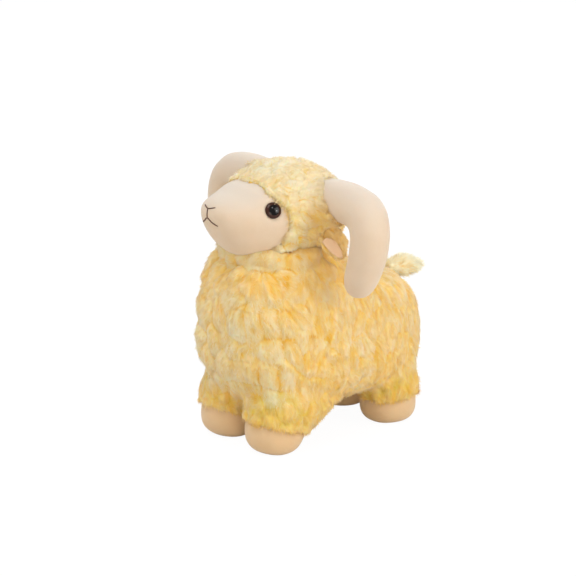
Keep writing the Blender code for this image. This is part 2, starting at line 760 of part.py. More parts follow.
def make_tail(skin, body_cover):
    """The pointed fleece tail, sewn to the rump along a short seam across it."""
    start = Vector((0, BODY_LENGTH, TAIL_HEIGHT))
    point, normal, _, _ = skin.ray_cast(start, Vector((0, -1, 0)))
    normal.x = 0
    at = point + normal * TAIL_BEAD_RADIUS * BEAD_STAND_SHARES[1]
    along = Vector(TAIL_DIRECTION_SHARES).normalized()
    across = Vector((1, 0, 0))
    frame = Matrix((across, along, across.cross(along))).transposed().to_4x4()
    frame.translation = at
    half = TAIL_WIDTH / 2
    widths = [(place, half * share) for place, share in zip(LEAF_PLACE_SHARES, TAIL_WIDTH_SHARES)]
    thick = TAIL_THICKNESS / 2
    bulks = [(place, thick * share) for place, share in zip(LEAF_PLACE_SHARES, TAIL_BULK_SHARES)]
    tail = leaf("tail", TAIL_LENGTH, TAIL_BEAD_RADIUS, widths, bulks)
    tail.matrix_world = frame
    groove = groove_tool(frame, half, TAIL_BEAD_RADIUS)
    carve(body_cover, groove)
    drop(groove)
    return tail


def thread(name, skin, knots):
    """A round thread laid on the face: knots are (across, height) seen from the front."""
    line = smooth_line([Vector((across, height, 0)) for across, height in knots], 3 * len(knots))
    laid = []
    for place in line:
        point, normal, _, _ = skin.ray_cast(Vector((place.x, -HEAD_LENGTH, place.y)), Vector((0, 1, 0)))
        laid.append((point + normal * (THREAD_RADIUS + SEAM_GAP), normal))
    loops = []
    for number, (centre, normal) in enumerate(laid):
        before, after = laid[max(number - 1, 0)][0], laid[min(number + 1, len(laid) - 1)][0]
        along = (after - before).normalized()
        first = (normal - along * normal.dot(along)).normalized()
        loops.append(ring_about(centre, first, along.cross(first), THREAD_RADIUS, THREAD_SIDES))
    return loft(name, loops)


def make_embroidery(skin):
    """Nose, lip and mouth, each one length of thread."""
    gap = THREAD_RADIUS * 2 + SEAM_GAP
    nose = [
        (-NOSE_ARM, NOSE_HEIGHT + NOSE_ARM_RISE),
        (0, NOSE_HEIGHT),
        (NOSE_ARM, NOSE_HEIGHT + NOSE_ARM_RISE),
    ]
    lip_end = NOSE_HEIGHT - LIP_DROP
    lip = [(0, NOSE_HEIGHT - gap), (0, lip_end + gap)]
    mouth = [
        (-MOUTH_ARM, lip_end - MOUTH_ARM_DROP),
        (-MOUTH_ARM / 2, lip_end - MOUTH_ARM_DROP * MOUTH_BEND_SHARE),
        (0, lip_end),
        (MOUTH_ARM / 2, lip_end - MOUTH_ARM_DROP * MOUTH_BEND_SHARE),
        (MOUTH_ARM, lip_end - MOUTH_ARM_DROP),
    ]
    return [
        thread("nose_stitching", skin, nose),
        thread("lip_stitching", skin, lip),
        thread("mouth_stitching", skin, mouth),
    ]


def above_seam(y, toe_height, heel_height, margin):
    """Everything above a foot's tilted seam, moved up by a margin."""
    reach = BODY_LENGTH
    shape = bmesh.new()
    bmesh.ops.create_cube(shape, size=1)
    slope = (heel_height - toe_height) / FOOT_LENGTH
    for corner in shape.verts:
        across, along = math.copysign(reach, corner.co.x), math.copysign(reach, corner.co.y)
        seam = (toe_height + heel_height) / 2 + slope * along + margin
        corner.co = Vector((across, y + along, seam if corner.co.z < 0 else seam + reach))
    return finished_object("above_seam", shape)


def make_limbs(body_clear, body_cover):
    """Four stuffed legs with velour feet; returns covers, feet and fillings."""
    legs, feet, fillings = [], [], []
    floor = box_tool((-BODY_LENGTH, -BODY_LENGTH, -BODY_LENGTH), (BODY_LENGTH, BODY_LENGTH, 0))
    ends = (
        ("front", -1, FRONT_SEAM_TOE, FRONT_SEAM_HEEL, FRONT_AHEAD_SHARES, FRONT_BEHIND_SHARES),
        ("rear", 1, REAR_SEAM_TOE, REAR_SEAM_HEEL, REAR_AHEAD_SHARES, REAR_BEHIND_SHARES),
    )
    for end, y_side, toe_height, heel_height, ahead_shares, behind_shares in ends:
        y = y_side * LEG_TRACK / 2
        form = limb_form(LEG_SPACING / 2, y, ahead_shares, behind_shares)
        skin = grown(form, VELOUR_THICKNESS - FLEECE_THICKNESS)
        foot_top = above_seam(y, toe_height, heel_height, 0)
        leg_bottom = above_seam(y, toe_height, heel_height, SEAM_GAP)
        foot = shell_of(skin, VELOUR_THICKNESS, f"foot_{end}_left")
        carve(foot, foot_top)
        carve(foot, floor)
        leg = shell_of(form, FLEECE_THICKNESS, f"leg_{end}_left")
        carve(leg, leg_bottom, "INTERSECT")
        carve(leg, body_clear)
        filling = grown(form, -FLEECE_THICKNESS - SEAM_GAP, f"leg_filling_{end}_left")
        carve(filling, body_clear)
        opening = grown(form, -FLEECE_THICKNESS - SEAM_ALLOWANCE)
        carve(body_cover, opening)
        other_opening = mirrored(opening, "opening")
        carve(body_cover, other_opening)
        drop(form, skin, foot_top, leg_bottom, opening, other_opening)
        legs += [leg, mirrored(leg, f"leg_{end}_right")]
        feet += [foot, mirrored(foot, f"foot_{end}_right")]
        fillings += [filling, mirrored(filling, f"leg_filling_{end}_right")]
    drop(floor)
    return legs, feet, fillings


def make_horns(head_clear):
    """Two stuffed horns: velour covers and their fillings, cut where they are sewn to the head."""
    form = horn_form("horn_form")
    inner = grown(form, -VELOUR_THICKNESS)
    cover = copy_of(form, "horn_left")
    carve(cover, inner)
    carve(cover, head_clear)
    filling = grown(form, -VELOUR_THICKNESS - SEAM_GAP, "horn_filling_left")
    carve(filling, head_clear)
    drop(form, inner)
    return [cover, mirrored(cover, "horn_right")], [filling, mirrored(filling, "horn_filling_right")]


def build():
    """Builds every piece and gives it its material."""
    clear_scene()
    body = body_form()
    head = head_form()
    body_clear = grown(body, SEAM_GAP)
    head_clear = grown(head, SEAM_GAP)

    body_cover = tiered(body, "body_cover")
    hollow = grown(body, -FLEECE_THICKNESS)
    carve(body_cover, hollow)
    drop(hollow)
    body_filling = grown(body, -FLEECE_THICKNESS - SEAM_GAP, "body_filling")
    legs, feet, leg_fillings = make_limbs(body_clear, body_cover)

    velour_skin = grown(head, VELOUR_THICKNESS - FLEECE_THICKNESS, "velour_skin")
    neck = grown(head, -FLEECE_THICKNESS - SEAM_ALLOWANCE)
    carve(body_cover, neck)
    drop(neck)
    head_cover = shell_of(head, FLEECE_THICKNESS, "head_cover")
    head_filling = grown(head, -FLEECE_THICKNESS - SEAM_GAP, "head_filling")
    face = shell_of(velour_skin, VELOUR_THICKNESS, "face_panel")
    drum = face_drum(0)
    drum_clear = face_drum(SEAM_GAP)
    for piece in (head_cover, head_filling, face):
        carve(piece, body_clear)
    carve(head_cover, drum_clear)
    carve(face, drum, "INTERSECT")
    drop(drum, drum_clear)

    velour_surface = surface_of(velour_skin)
    head_surface = surface_of(head)
    point, normal = eye_place(velour_surface)
    eyes, washers = [], []
    for side in (1, -1):
        eye, washer = make_eye(side, point, normal, face, head_filling)
        eyes.append(eye)
        washers.append(washer)
    stitching = make_embroidery(velour_surface)
    horns, horn_fillings = make_horns(head_clear)
    backs, linings = [], []
    for side in (1, -1):
        back, lining = make_ear(side, head_surface, head_cover)
        backs.append(back)
        linings.append(lining)
    tail = make_tail(surface_of(body), body_cover)
    drop(body, head, body_clear, head_clear, velour_skin)

    fleece = plain_material("fleece", FLEECE_YELLOW, 0.95, 0.4)
    velour = plain_material("velour", VELOUR_CREAM, 0.9, 0.3)
    horn_cloth = plain_material("horn_velour", HORN_CREAM, 0.9, 0.3)
    filling_fibre = plain_material("filling_fibre", FILLING_WHITE, 1.0)
    eye_plastic = plain_material("eye_plastic", EYE_BROWN, 0.08)
    washer_plastic = plain_material("washer_plastic", WASHER_WHITE, 0.5)
    thread_cotton = plain_material("thread", THREAD_BROWN, 0.8)
    for pieces, material in (
        ([body_cover, head_cover, tail, *legs, *backs], fleece),
        ([face, *feet, *linings], velour),
        (horns, horn_cloth),
        ([body_filling, head_filling, *leg_fillings, *horn_fillings], filling_fibre),
        (eyes, eye_plastic),
        (washers, washer_plastic),
        (stitching, thread_cotton),
    ):
        for piece in pieces:
            piece.data.materials.clear()
            piece.data.materials.append(material)
            tidy_mesh(piece)
    centre_on_box()


def centre_on_box():
    """Parents every piece to an empty that puts the middle of the toy's length at the origin."""
    pieces = [item for item in bpy.context.scene.objects if item.type == "MESH"]
    reach = [(item.matrix_world @ corner.co).y for item in pieces for corner in item.data.vertices]
    stand = bpy.data.objects.new("sheep", None)
    bpy.context.scene.collection.objects.link(stand)
    for item in pieces:
        item.parent = stand
    stand.location.y = -(min(reach) + max(reach)) / 2


build()
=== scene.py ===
"""The looks of a standing plush sheep with curled horns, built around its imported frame.

Metres, +Z up. The sheep faces -Y and its left side is +X. Every soft piece starts from the frame's own solids:
they are joined, remeshed fine and smoothed, and then tufts, dents and fuzz are modelled into the mesh.
"""
import math

import bmesh
import bpy
import numpy as np
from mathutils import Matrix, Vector
from mathutils.bvhtree import BVHTree
from mathutils.kdtree import KDTree


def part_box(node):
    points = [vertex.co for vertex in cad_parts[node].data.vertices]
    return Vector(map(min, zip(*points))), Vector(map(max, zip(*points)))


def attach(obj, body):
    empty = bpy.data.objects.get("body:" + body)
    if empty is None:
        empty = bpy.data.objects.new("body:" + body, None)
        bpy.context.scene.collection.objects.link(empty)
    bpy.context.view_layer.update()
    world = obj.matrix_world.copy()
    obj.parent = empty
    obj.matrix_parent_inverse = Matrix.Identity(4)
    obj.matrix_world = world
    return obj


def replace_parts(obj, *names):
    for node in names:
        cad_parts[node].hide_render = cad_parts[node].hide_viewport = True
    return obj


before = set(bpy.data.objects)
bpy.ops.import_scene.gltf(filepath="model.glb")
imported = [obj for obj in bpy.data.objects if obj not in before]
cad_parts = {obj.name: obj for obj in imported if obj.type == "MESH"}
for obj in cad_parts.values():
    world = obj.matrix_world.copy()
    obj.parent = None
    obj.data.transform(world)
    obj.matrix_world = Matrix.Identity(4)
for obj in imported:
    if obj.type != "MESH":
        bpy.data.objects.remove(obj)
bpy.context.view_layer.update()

SIDES = ("left", "right")
EAR_BACKS = tuple(f"ear_{side}_back" for side in SIDES)
HORNS = tuple(f"horn_{side}" for side in SIDES)

# Camera, placed from the photograph: the azimuth turns from the sheep's front (-Y) towards its left side
CAMERA_AZIMUTH = 50.0
CAMERA_ELEVATION = 17.0
CAMERA_DISTANCE = 2.7
CAMERA_LENS = 187.5
CAMERA_SENSOR = 36.0
CAMERA_TARGET = (-0.0396, -0.0003, 0.1171)

# Remeshing of the frame's solids
BODY_VOXEL = 0.0011
HEAD_VOXEL = 0.0010
VELOUR_VOXEL = 0.0012
SMALL_VOXEL = 0.0007
BODY_ROUNDS = 55
HEAD_ROUNDS = 30
MUZZLE_ROUNDS = 60
VELOUR_ROUNDS = 70
SMALL_ROUNDS = 12
# How often the painted top light of the velours is smoothed
TOP_LIGHT_ROUNDS = 140
RELAX = 0.55

# Tufts of each zone of the fleece: width and length of one, and how far it rises
TUFTS = {
    "flank": (0.0085, 0.0190, 0.0010),
    "chest": (0.0148, 0.0215, 0.0025),
    "neck": (0.0100, 0.0150, 0.0014),
    "leg": (0.0088, 0.0112, 0.0013),
    "ruff": (0.0400, 0.0190, 0.0050),
    "head": (0.0085, 0.0105, 0.0014),
    "ear": (0.0060, 0.0090, 0.0013),
    "tail": (0.0080, 0.0130, 0.0016),
}

# The way the pile lies; that of the left ear is mirrored for the right one
BODY_LIE = (0.0, 0.25, -1.0)
HEAD_LIE = (0.0, 0.7, -0.8)
TAIL_LIE = (0.0, 1.0, -0.1)
EAR_LIE = (0.44, 0.46, -0.76)

# How tufts lie over each other: depth and width of the creases between two and of the pits between three, in shares
# of a tuft's rise and radius, how they turn, vary, tilt and wander, and the strands that each is made of
CREASE_DEPTH_SHARE = 0.25
CREASE_WIDTH_SHARE = 0.42
CREASE_PATCH = 0.0130
CREASE_LEAST = 0.12
PIT_WIDTH_SHARE = 0.20
PIT_LEAST = 0.3
EVEN_SHARE = 0.80
TUFT_TURN = 0.22
TUFT_SPREAD = 0.14
TUFT_PEAK = 2.2
TUFT_TILT = 0.38
TUFT_REACH = 0.66
TUFT_LEVEL = 0.72
TUFT_SOFTNESS = 6.0
TUFT_SQUARENESS = 2.4
TUFT_NEIGHBOURS = 9
TUFT_APART = 7.3
CENTRE_TRIES = 24000
SWIRL_SIZE = 0.0180
HEAD_SWIRL = 1.3
BODY_SWIRL = 0.55
WANDER = ((0.0160, 0.0042), (0.0070, 0.0012))
STRANDS = 6.0
STRAND_RUN = 1.6
STRAND_TAPER = 0.3
STRAND_RAG = 0.12
PUFF_RAG = 0.05
STRAND_HEIGHT = 0.00042
CURL_SIZE = (0.0048, 0.0070)
CURL_HEIGHT = 0.00065

# Tone of the fleece, from 0 for its depths to 1 for its crowns: the level, and what each part adds or takes away; the
# depths are a painted shade and the crowns a painted light
LIFT_LEVEL = 0.62
# Painted shade at the root of each tuft, under the one above, and painted light towards its tip
LIFT_ALONG = 0.20
# Painted light where curls and strands rise, painted shade in the creases and pits
LIFT_CURL = 0.30
LIFT_STRAND = 0.18
LIFT_CREASE = 0.66
LIFT_PIT = 0.45
LIFT_FLECK = 0.55
# Painted shade where the tiers of the chest are drawn in
LIFT_PRESS = 0.25
FLECK_SIZE = 0.0052
FLECK_PATCH = 0.030

# Share of orange in the fleece: the level, and what patches, each tuft and the creases add; the orange in the creases
# is a painted shade
TINT_LEVEL = 0.22
TINT_PATCH = 0.28
TINT_PATCH_SIZE = 0.028
TINT_TUFT = 0.22
TINT_CREASE = 0.45

# Warmth and pallor that each zone adds
BODY_WARMTH = 0.30
# Body: near the head and ears the orange is a painted shade in the pockets under horns and ears, and the pallor near
# the head a painted light; the chest is painted less orange and a little paler, a painted light on the front; the
# ruff gets paler and less orange, the legs warmer, and the lowest part a little darker
ZONE_WARMTH = {"chest": -0.50, "ruff": -0.25, "near_head": 0.45, "near_ear": 0.8, "leg": 0.32}
ZONE_PALE = {"ruff": 0.06, "chest": 0.04, "near_head": 0.10, "low": -0.05}
# Head: the orange at the ear root, beneath the horns and along the face is a painted shade; the paler top and cheeks
# are a painted light; the sides get a little warmer
HEAD_WARMTH = {"side": 0.05, "ear": 0.7, "beneath": 0.5, "edge": 0.25}
HEAD_PALE = {"crown": 0.38, "cheek": 0.24}
# Ears and tail are painted paler, and the tail less orange, a painted light on them; the ears also get warmer
EAR_WARMTH, EAR_PALE = 0.5, 0.34
TAIL_WARMTH, TAIL_PALE = -0.3, 0.40

# Seeds of the layers of noise; wandering takes the six from its own on, and combed noise takes two
PUCKER_NOISE, CREASE_NOISE, SWIRL_NOISE, WANDER_NOISE, CURL_NOISE, STRAND_NOISE = 21, 31, 35, 40, 51, 65
FLECK_NOISE, FLECK_PATCH_NOISE, TINT_NOISE, WAVE_NOISE, TIER_NOISE = 71, 72, 81, 91, 93

# Where the body's fleece changes: the tops of legs and belly, how far it faces ahead, the heights at which the chest
# ends and the neck and ruff begin, how far back the ruff reaches, and how near to head and ears it gets the warmer
# painted shade
LEG_TOP = (0.042, 0.062)
BELLY_HEIGHTS = (0.055, 0.095)
FRONT_FACING = (0.05, 0.65)
FRONT_START = 0.05
FRONT_GAIN = 6
CHEST_TOP = (0.142, 0.152)
NECK_START = (0.125, 0.145)
RUFF_START = (0.160, 0.168)
RUFF_BACK = (0.010, -0.010)
NEAR_HEAD = 0.022
NEAR_EAR = 0.012
UPRIGHT_FACING = (0.0, 0.5)

# Where the head's fleece changes: its crown, its cheeks, and below the horns how near, how low and how far it swells
CROWN_FACING = (0.10, 0.80)
SIDE_REACH = (0.02, 0.05)
CHEEK_REACH = (0.02, 0.045)
BENEATH_REACH = 0.014
BENEATH_HEIGHTS = (0.232, 0.212)
BENEATH_PUFF = 0.8

# The two rounded flaps on each side of the ruff, below the muzzle and below the ear
RUFF_FLAPS = ((0.0245, -0.0835, 0.1800), (0.0455, -0.0495, 0.1760))

# Tiers of the chest: heights of the creases between them, and how far a tier hangs over the next
TIER_CREASES = (0.0620, 0.0860, 0.1100, 0.1340)
TIER_BULGE = 0.0012
TIER_FILL = 0.0016
TIER_FILL_REACH = 0.0055
TIER_LIP = 0.0018
TIER_FADE = 9.0
TIER_PATCH = 0.030
TIER_LEAST = 0.30
TIER_WAVE = 0.0030
WAVES = ((0.035, 1.0), (0.012, 0.4))
ROW_SPREAD = 0.0028

# Border of the head fleece: how wide it puffs up beside the face, how high, how far and over which share of that
# width it laps over the face; how far, over which reach and between which heights it draws back from the bridge of
# the muzzle, how far it sinks there, and between which heights the puff fades
EDGE_REACH = 0.0070
EDGE_PUFF = 0.0018
EDGE_LAP = 0.0016
LAP_SHARE = 0.45
BROW_BACK = 0.0085
BROW_REACH = 0.0120
BROW_HEIGHTS = (0.2312, 0.2380)
BROW_SINK = 0.3
FLAT_HEIGHTS = (0.2080, 0.2300)
OUTER_FACING = (-0.1, 0.35)

# Fringe of the head fleece: how far from the face and from a horn it is rooted, over which reach it is combed
# towards them, and how much less so on the brow
FACE_BORDER = 0.0035
HORN_BORDER = 0.0050
COMB_REACH = 0.005
BROW_COMB = 0.3

# Collar of fleece around the root of each horn, swell of the ruff against the head and of the rump at the tail, and
# hem of each leg
COLLAR_REACH = 0.0055
COLLAR_LAP = 0.0130
COLLAR_PUFF = 0.0012
RUFF_REACH = 0.0115
RUFF_PUFF = 0.0048
TAIL_REACH = 0.0085
TAIL_PUFF = 0.0026
HEM_REACH = 0.0045
HEM_PUFF = 0.0014
HEM_FRINGE = 0.25

# Fuzz: thin fibres rooted on the fleece. Each stands off the skin, swings and droops by chance, varies in length from
# its least by a spread, is rooted below the skin, bends at a joint, tapers, and gets paler towards its tip
FIBRE_WIDTH = 0.00048
FIBRE_STAND = 0.42
FIBRE_SWING = 0.40
FIBRE_DROOP = 0.25
FIBRE_BEND = 0.45
FIBRE_LEAST = 0.5
FIBRE_SPREAD = 0.8
FIBRE_ROOT = 0.12
FIBRE_JOINT = 0.55
FIBRE_TIP = 0.6
FIBRE_TAPER = 0.8
FIBRE_SHADING = (0.22, 0.15)
FIBRE_TONES = (-0.10, -0.10, 0.04, 0.04, 0.16)
HEM_STAND = 0.25
EDGE_STAND = 0.24
TAIL_STAND = 0.6
BODY_FIBRES = 60000
RIM_FIBRES = 5000
HEAD_FIBRES = 19000
EDGE_FIBRES = 9000
TAIL_FIBRES = 3000
EAR_FIBRES = 1800
FIBRE_LENGTH = 0.0050
RIM_LENGTH = 0.0036
EDGE_LENGTH = 0.0050
FIBRE_TONE = 0.18

# Stuffed velour: how far each piece swells, the size and depth of its puckers, the depth and reach of the dent at an
# eye, and how far the muzzle goes on below the fleece
HORN_SWELL = 0.0007
FOOT_SWELL = 0.0009
MUZZLE_SWELL = 0.0006
PUCKER_SIZE = 0.014
PUCKER_DEPTH = 0.0003
EYE_DENT = 0.0010
EYE_DENT_REACH = 0.011
PANEL_MARGIN = 0.0075

# Eyes: how much flatter and deeper the dome sits in the pile than its moulding alone, how far its stem goes back and
# its rim stands up in shares of the dome, the radius within the rim, and how finely it is turned
EYE_FLATNESS = 0.75
EYE_SINK = 0.0007
EYE_STEM = 0.3
EYE_STEM_RADIUS = 0.97
EYE_RIM = 0.16
EYE_SHOULDER = 0.18
EYE_SHOULDER_RADIUS = 0.985
EYE_STEPS = 18
EYE_SIDES = 56

# Thread: its radius and how far it stands off the velour in radii, the points between two knots, how often its line
# is smoothed, its sides, how thin it ends, and how far up and out the corners of the mouth bend
THREAD_RADIUS = 0.00048
THREAD_LIFT = 0.45
THREAD_STEPS = 8
THREAD_ROUNDS = 6
THREAD_SIDES = 10
THREAD_END = 0.55
MOUTH_BEND = (0.5, 0.62)

# Ears: over which reach and how far the head swells around the root, half the width of the leaf, how far its fleece
# puffs up and spreads at the rear edge of the lining, how much of its width the lining keeps, and how it tapers
EAR_REACH = 0.0105
EAR_PUFF = 0.0036
EAR_HALF_WIDTH = 0.0105
EAR_RIM = 0.0026
EAR_SPREAD = 0.0034
LINING_SHARE = 0.62
LINING_TAPER = 0.35
LINING_TOP = (-0.0150, -0.0020)
LINING_FRONT = 0.8

# Edges of the ear's fleece in shares of its half width, the front one lower, and the depth of its outer face
EAR_REAR_EDGE = (-0.15, 0.45)
EAR_FRONT_EDGE = (-0.70, -0.95)
EAR_FRONT_SHARE = 0.5
EAR_SPREAD_SPAN = (0.0, 0.9)
EAR_FACE = (-0.0030, 0.0)

# Colours, linear: the fleece from its depths to its crowns, which give the painted shade and light, its orange and
# how far warmth leads there, and how much brighter the thin pieces, ears and tail, are painted, a painted light on
# them
FLEECE_STOPS = (
    (0.05, (0.83, 0.46, 0.02)),
    (0.30, (0.87, 0.58, 0.13)),
    (0.55, (0.88, 0.68, 0.30)),
    (0.78, (0.89, 0.77, 0.47)),
    (1.0, (0.93, 0.86, 0.66)),
)
FLEECE_ORANGE = (0.99, 0.60, 0.09)
ORANGE_SHARE = 0.62
THIN_LIGHT_GAIN = 1.13
# Velours, each its own colour and then a paler one where it faces up, a painted top light
VELOUR_CREAM = (0.785, 0.605, 0.43)
VELOUR_TOP_LIGHT = (0.74, 0.64, 0.535)
HORN_CREAM = (0.77, 0.605, 0.445)
HORN_TOP_LIGHT = (0.745, 0.64, 0.535)
FOOT_CREAM = (0.80, 0.555, 0.31)
FOOT_TOP_LIGHT = (0.83, 0.60, 0.39)
LINING_PINK = (0.95, 0.66, 0.42)
LINING_TOP_LIGHT = (0.95, 0.68, 0.45)
EYE_BLACK = (0.004, 0.003, 0.003)
EYE_BROWN = (0.052, 0.017, 0.010)
THREAD_BROWN = (0.130, 0.050, 0.030)
WASHER_WHITE = (0.75, 0.75, 0.72)
WHITE = (1.0, 1.0, 1.0)

# Light: that of the surroundings, the floor's own share of it for the camera, and the lamps as name, place, size,
# power and colour; the two small ones shine in the eyes
WORLD_LIGHT = 0.51
FLOOR_REACH = 6.0
FLOOR_TONES = (0.73, 0.75)
FLOOR_GLOW = 1.06
FLOOR_GLOW_SHARE = 0.9
LAMP_AIM = (0, 0, 0.12)
LAMPS = (
    ("key", (0.15, -0.75, 1.75), 0.9, 9.8, (1.0, 0.99, 0.97)),
    ("side", (1.55, 0.7, 0.85), 1.0, 9.9, (1.0, 0.97, 0.93)),
    ("far", (-1.2, -1.2, 0.7), 0.9, 3.5, (1.0, 0.97, 0.92)),
    ("front", (1.28, -1.0, 0.25), 0.8, 4.7, (1.0, 0.92, 0.80)),
    ("rim", (-1.0, 0.9, 1.1), 0.8, 8.5, WHITE),
    ("glint", (1.41, 0.45, 0.75), 0.12, 2.0, WHITE),
    ("glint_high", (1.17, -0.11, 1.36), 0.12, 1.0, WHITE),
)

SEED = 11


# Mesh helpers


def arrays_of(mesh):
    """Points, normals and edges of a mesh as arrays."""
    points = np.empty(len(mesh.vertices) * 3)
    mesh.vertices.foreach_get("co", points)
    normals = np.empty(len(mesh.vertices) * 3)
    mesh.vertices.foreach_get("normal", normals)
    edges = np.empty(len(mesh.edges) * 2, int)
    mesh.edges.foreach_get("vertices", edges)
    return points.reshape(-1, 3), normals.reshape(-1, 3), edges.reshape(-1, 2)


def set_points(mesh, points):
    """Writes moved points back to a mesh."""
    mesh.vertices.foreach_set("co", np.ascontiguousarray(points, dtype=np.float32).ravel())
    mesh.update()


def unit(rows):
    """Rows scaled to length one."""
    return rows / np.maximum(np.linalg.norm(rows, axis=-1, keepdims=True), 1e-9)


def smoothstep(low, high, values):
    """Zero below low, one above high, smooth between."""
    step = np.clip((values - low) / (high - low), 0, 1)
    return step * step * (3 - 2 * step)


def falloff(gaps, reach):
    """One at no distance, fading to zero beyond a reach."""
    return np.exp(-((gaps / reach) ** 2))


def add_object(name, mesh):
    """Links a new object for a mesh."""
    item = bpy.data.objects.new(name, mesh)
    bpy.context.scene.collection.objects.link(item)
    return item


def relaxed(points, edges, rounds):
    """Smooths a net of points, or other rows of numbers on it, rounding off every facet."""
    first, second = edges[:, 0], edges[:, 1]
    count = len(points)
    valence = np.maximum(np.bincount(first, minlength=count) + np.bincount(second, minlength=count), 1)
    points = points.copy()
    for _ in range(rounds):
        for axis in range(points.shape[1]):
            column = points[:, axis]
            total = np.bincount(first, column[second], count) + np.bincount(second, column[first], count)
            points[:, axis] += RELAX * (total / valence - column)
    return points


def remeshed(name, nodes, voxel, rounds):
    """One smooth fine mesh around some of the frame's solids; crumbs and inner skins are left out."""
    shape = bmesh.new()
    for node in nodes:
        shape.from_mesh(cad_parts[node].data)
    rough = bpy.data.meshes.new(name)
    shape.to_mesh(rough)
    shape.free()
    item = add_object(name, rough)
    modifier = item.modifiers.new("Remesh", "REMESH")
    modifier.mode = "VOXEL"
    modifier.voxel_size = voxel
    graph = bpy.context.evaluated_depsgraph_get()
    mesh = bpy.data.meshes.new_from_object(item.evaluated_get(graph))
    item.modifiers.clear()
    item.data = mesh
    mesh.materials.clear()
    keep_outer_skin(mesh)
    points, _, edges = arrays_of(mesh)
    set_points(mesh, relaxed(points, edges, rounds))
    mesh.shade_smooth()
    return item


def tree_of(mesh):
    """A tree of a mesh's faces, for finding near points and hits."""
    points, _, _ = arrays_of(mesh)
    return BVHTree.FromPolygons(points.tolist(), [tuple(face.vertices) for face in mesh.polygons])


def gaps_to(tree, points):
    """How far each point is from the faces of a tree."""
    return np.array([tree.find_nearest(point)[3] for point in points])


def keep_outer_skin(mesh):
    """Keeps only the connected part of a mesh that spans the largest box."""
    shape = bmesh.new()
    shape.from_mesh(mesh)
    shape.verts.ensure_lookup_table()
    seen = np.zeros(len(shape.verts), bool)
    bodies = []
    for start in shape.verts:
        if seen[start.index]:
            continue
        seen[start.index] = True
        body, front = [], [start]
        while front:
            corner = front.pop()
            body.append(corner)
            for edge in corner.link_edges:
                other = edge.other_vert(corner)
                if not seen[other.index]:
                    seen[other.index] = True
                    front.append(other)
        places = np.array([corner.co for corner in body])
        bodies.append((float(np.prod(places.max(0) - places.min(0))), body))
    bodies.sort(key=lambda entry: entry[0])
    crumbs = [corner for _, body in bodies[:-1] for corner in body]
    bmesh.ops.delete(shape, geom=crumbs, context="VERTS")
    shape.to_mesh(mesh)
    shape.free()


def keep_where(item, wanted):
    """Deletes the points of a mesh that a mask leaves out."""
    shape = bmesh.new()
    shape.from_mesh(item.data)
    shape.verts.ensure_lookup_table()
    bmesh.ops.delete(shape, geom=[shape.verts[k] for k in np.flatnonzero(~wanted)], context="VERTS")
    shape.to_mesh(item.data)
    shape.free()


def smooth_mesh(name, shape):
    """A smooth-shaded mesh of a finished shape, with its faces turned outwards."""
    bmesh.ops.recalc_face_normals(shape, faces=shape.faces)
    mesh = bpy.data.meshes.new(name)
    shape.to_mesh(mesh)
    shape.free()
    mesh.shade_smooth()
    return mesh


def paint(mesh, name, values):
    """Stores one number for each point, for a material to read."""
    layer = mesh.attributes.get(name) or mesh.attributes.new(name, "FLOAT", "POINT")
    layer.data.foreach_set("value", np.ascontiguousarray(values, dtype=np.float32))


def painted(mesh, name):
    """Reads back the numbers painted on a mesh."""
    values = np.empty(len(mesh.vertices), np.float32)
    mesh.attributes[name].data.foreach_get("value", values)
    return values


# Noise


def hashed(cells, seed):
    """A number from 0 to 1 for each cell of a grid of whole numbers."""
    mixed = (cells[:, 0] * 73856093) ^ (cells[:, 1] * 19349663) ^ (cells[:, 2] * 83492791) ^ (seed * 2654435761)
    mixed = (mixed ^ (mixed >> 13)) * 1274126177
    mixed = mixed ^ (mixed >> 16)
    return (mixed & 0xFFFFF) / float(0xFFFFF)


def noise(points, size, seed):
    """Smooth value noise from -1 to 1, with lumps of a given size (one number or one for each axis)."""
    places = points / size
    cells = np.floor(places).astype(np.int64)
    step = places - cells
    step = step * step * (3 - 2 * step)
    total = np.zeros(len(points))
    for corner in range(8):
        offset = np.array([corner & 1, corner >> 1 & 1, corner >> 2 & 1])
        weight = np.prod(np.where(offset, step, 1 - step), axis=1)
        total += weight * hashed(cells + offset, seed)
    return total * 2 - 1


# Fleece


def comb_directions(normals, lie):
    """The pile's lie on a surface: a direction laid into the skin, and the direction across it."""
    lie = np.broadcast_to(np.asarray(lie, float), normals.shape)
    down = unit(lie - normals * np.sum(lie * normals, axis=1, keepdims=True))
    return down, np.cross(normals, down)


def turned(down, across, angles):
    """The pile's lie turned within the skin by an angle for each point."""
    angles = angles[:, None]
    return down * np.cos(angles) + across * np.sin(angles), across * np.cos(angles) - down * np.sin(angles)


def tuft_centres(points, down, across, widths, lengths, allowed, planted):
    """Picks tuft centres no closer than a tuft's width and length, after those planted."""
    chooser = np.random.default_rng(SEED)
    candidates = np.concatenate([planted, chooser.permutation(np.flatnonzero(allowed))[:CENTRE_TRIES]]).astype(int)
    cell = float(np.max(np.maximum(widths, lengths)[allowed]))
    grid = {}
    chosen = []
    for index in candidates:
        place = points[index]
        key = tuple(np.floor(place / cell).astype(int))
        near = []
        for a in (-1, 0, 1):
            for b in (-1, 0, 1):
                for c in (-1, 0, 1):
                    near += grid.get((key[0] + a, key[1] + b, key[2] + c), ())
        if near:
            gaps = points[near] - place
            wide = (widths[near] + widths[index]) / 2
            long = (lengths[near] + lengths[index]) / 2
            side = gaps @ across[index] / wide
            along = gaps @ down[index] / long
            depth = np.linalg.norm(gaps, axis=1) / cell
            if np.any((side * side + along * along < 1.0) & (depth < 1.0)):
                continue
        grid.setdefault(key, []).append(index)
        chosen.append(index)
    return np.array(chosen)


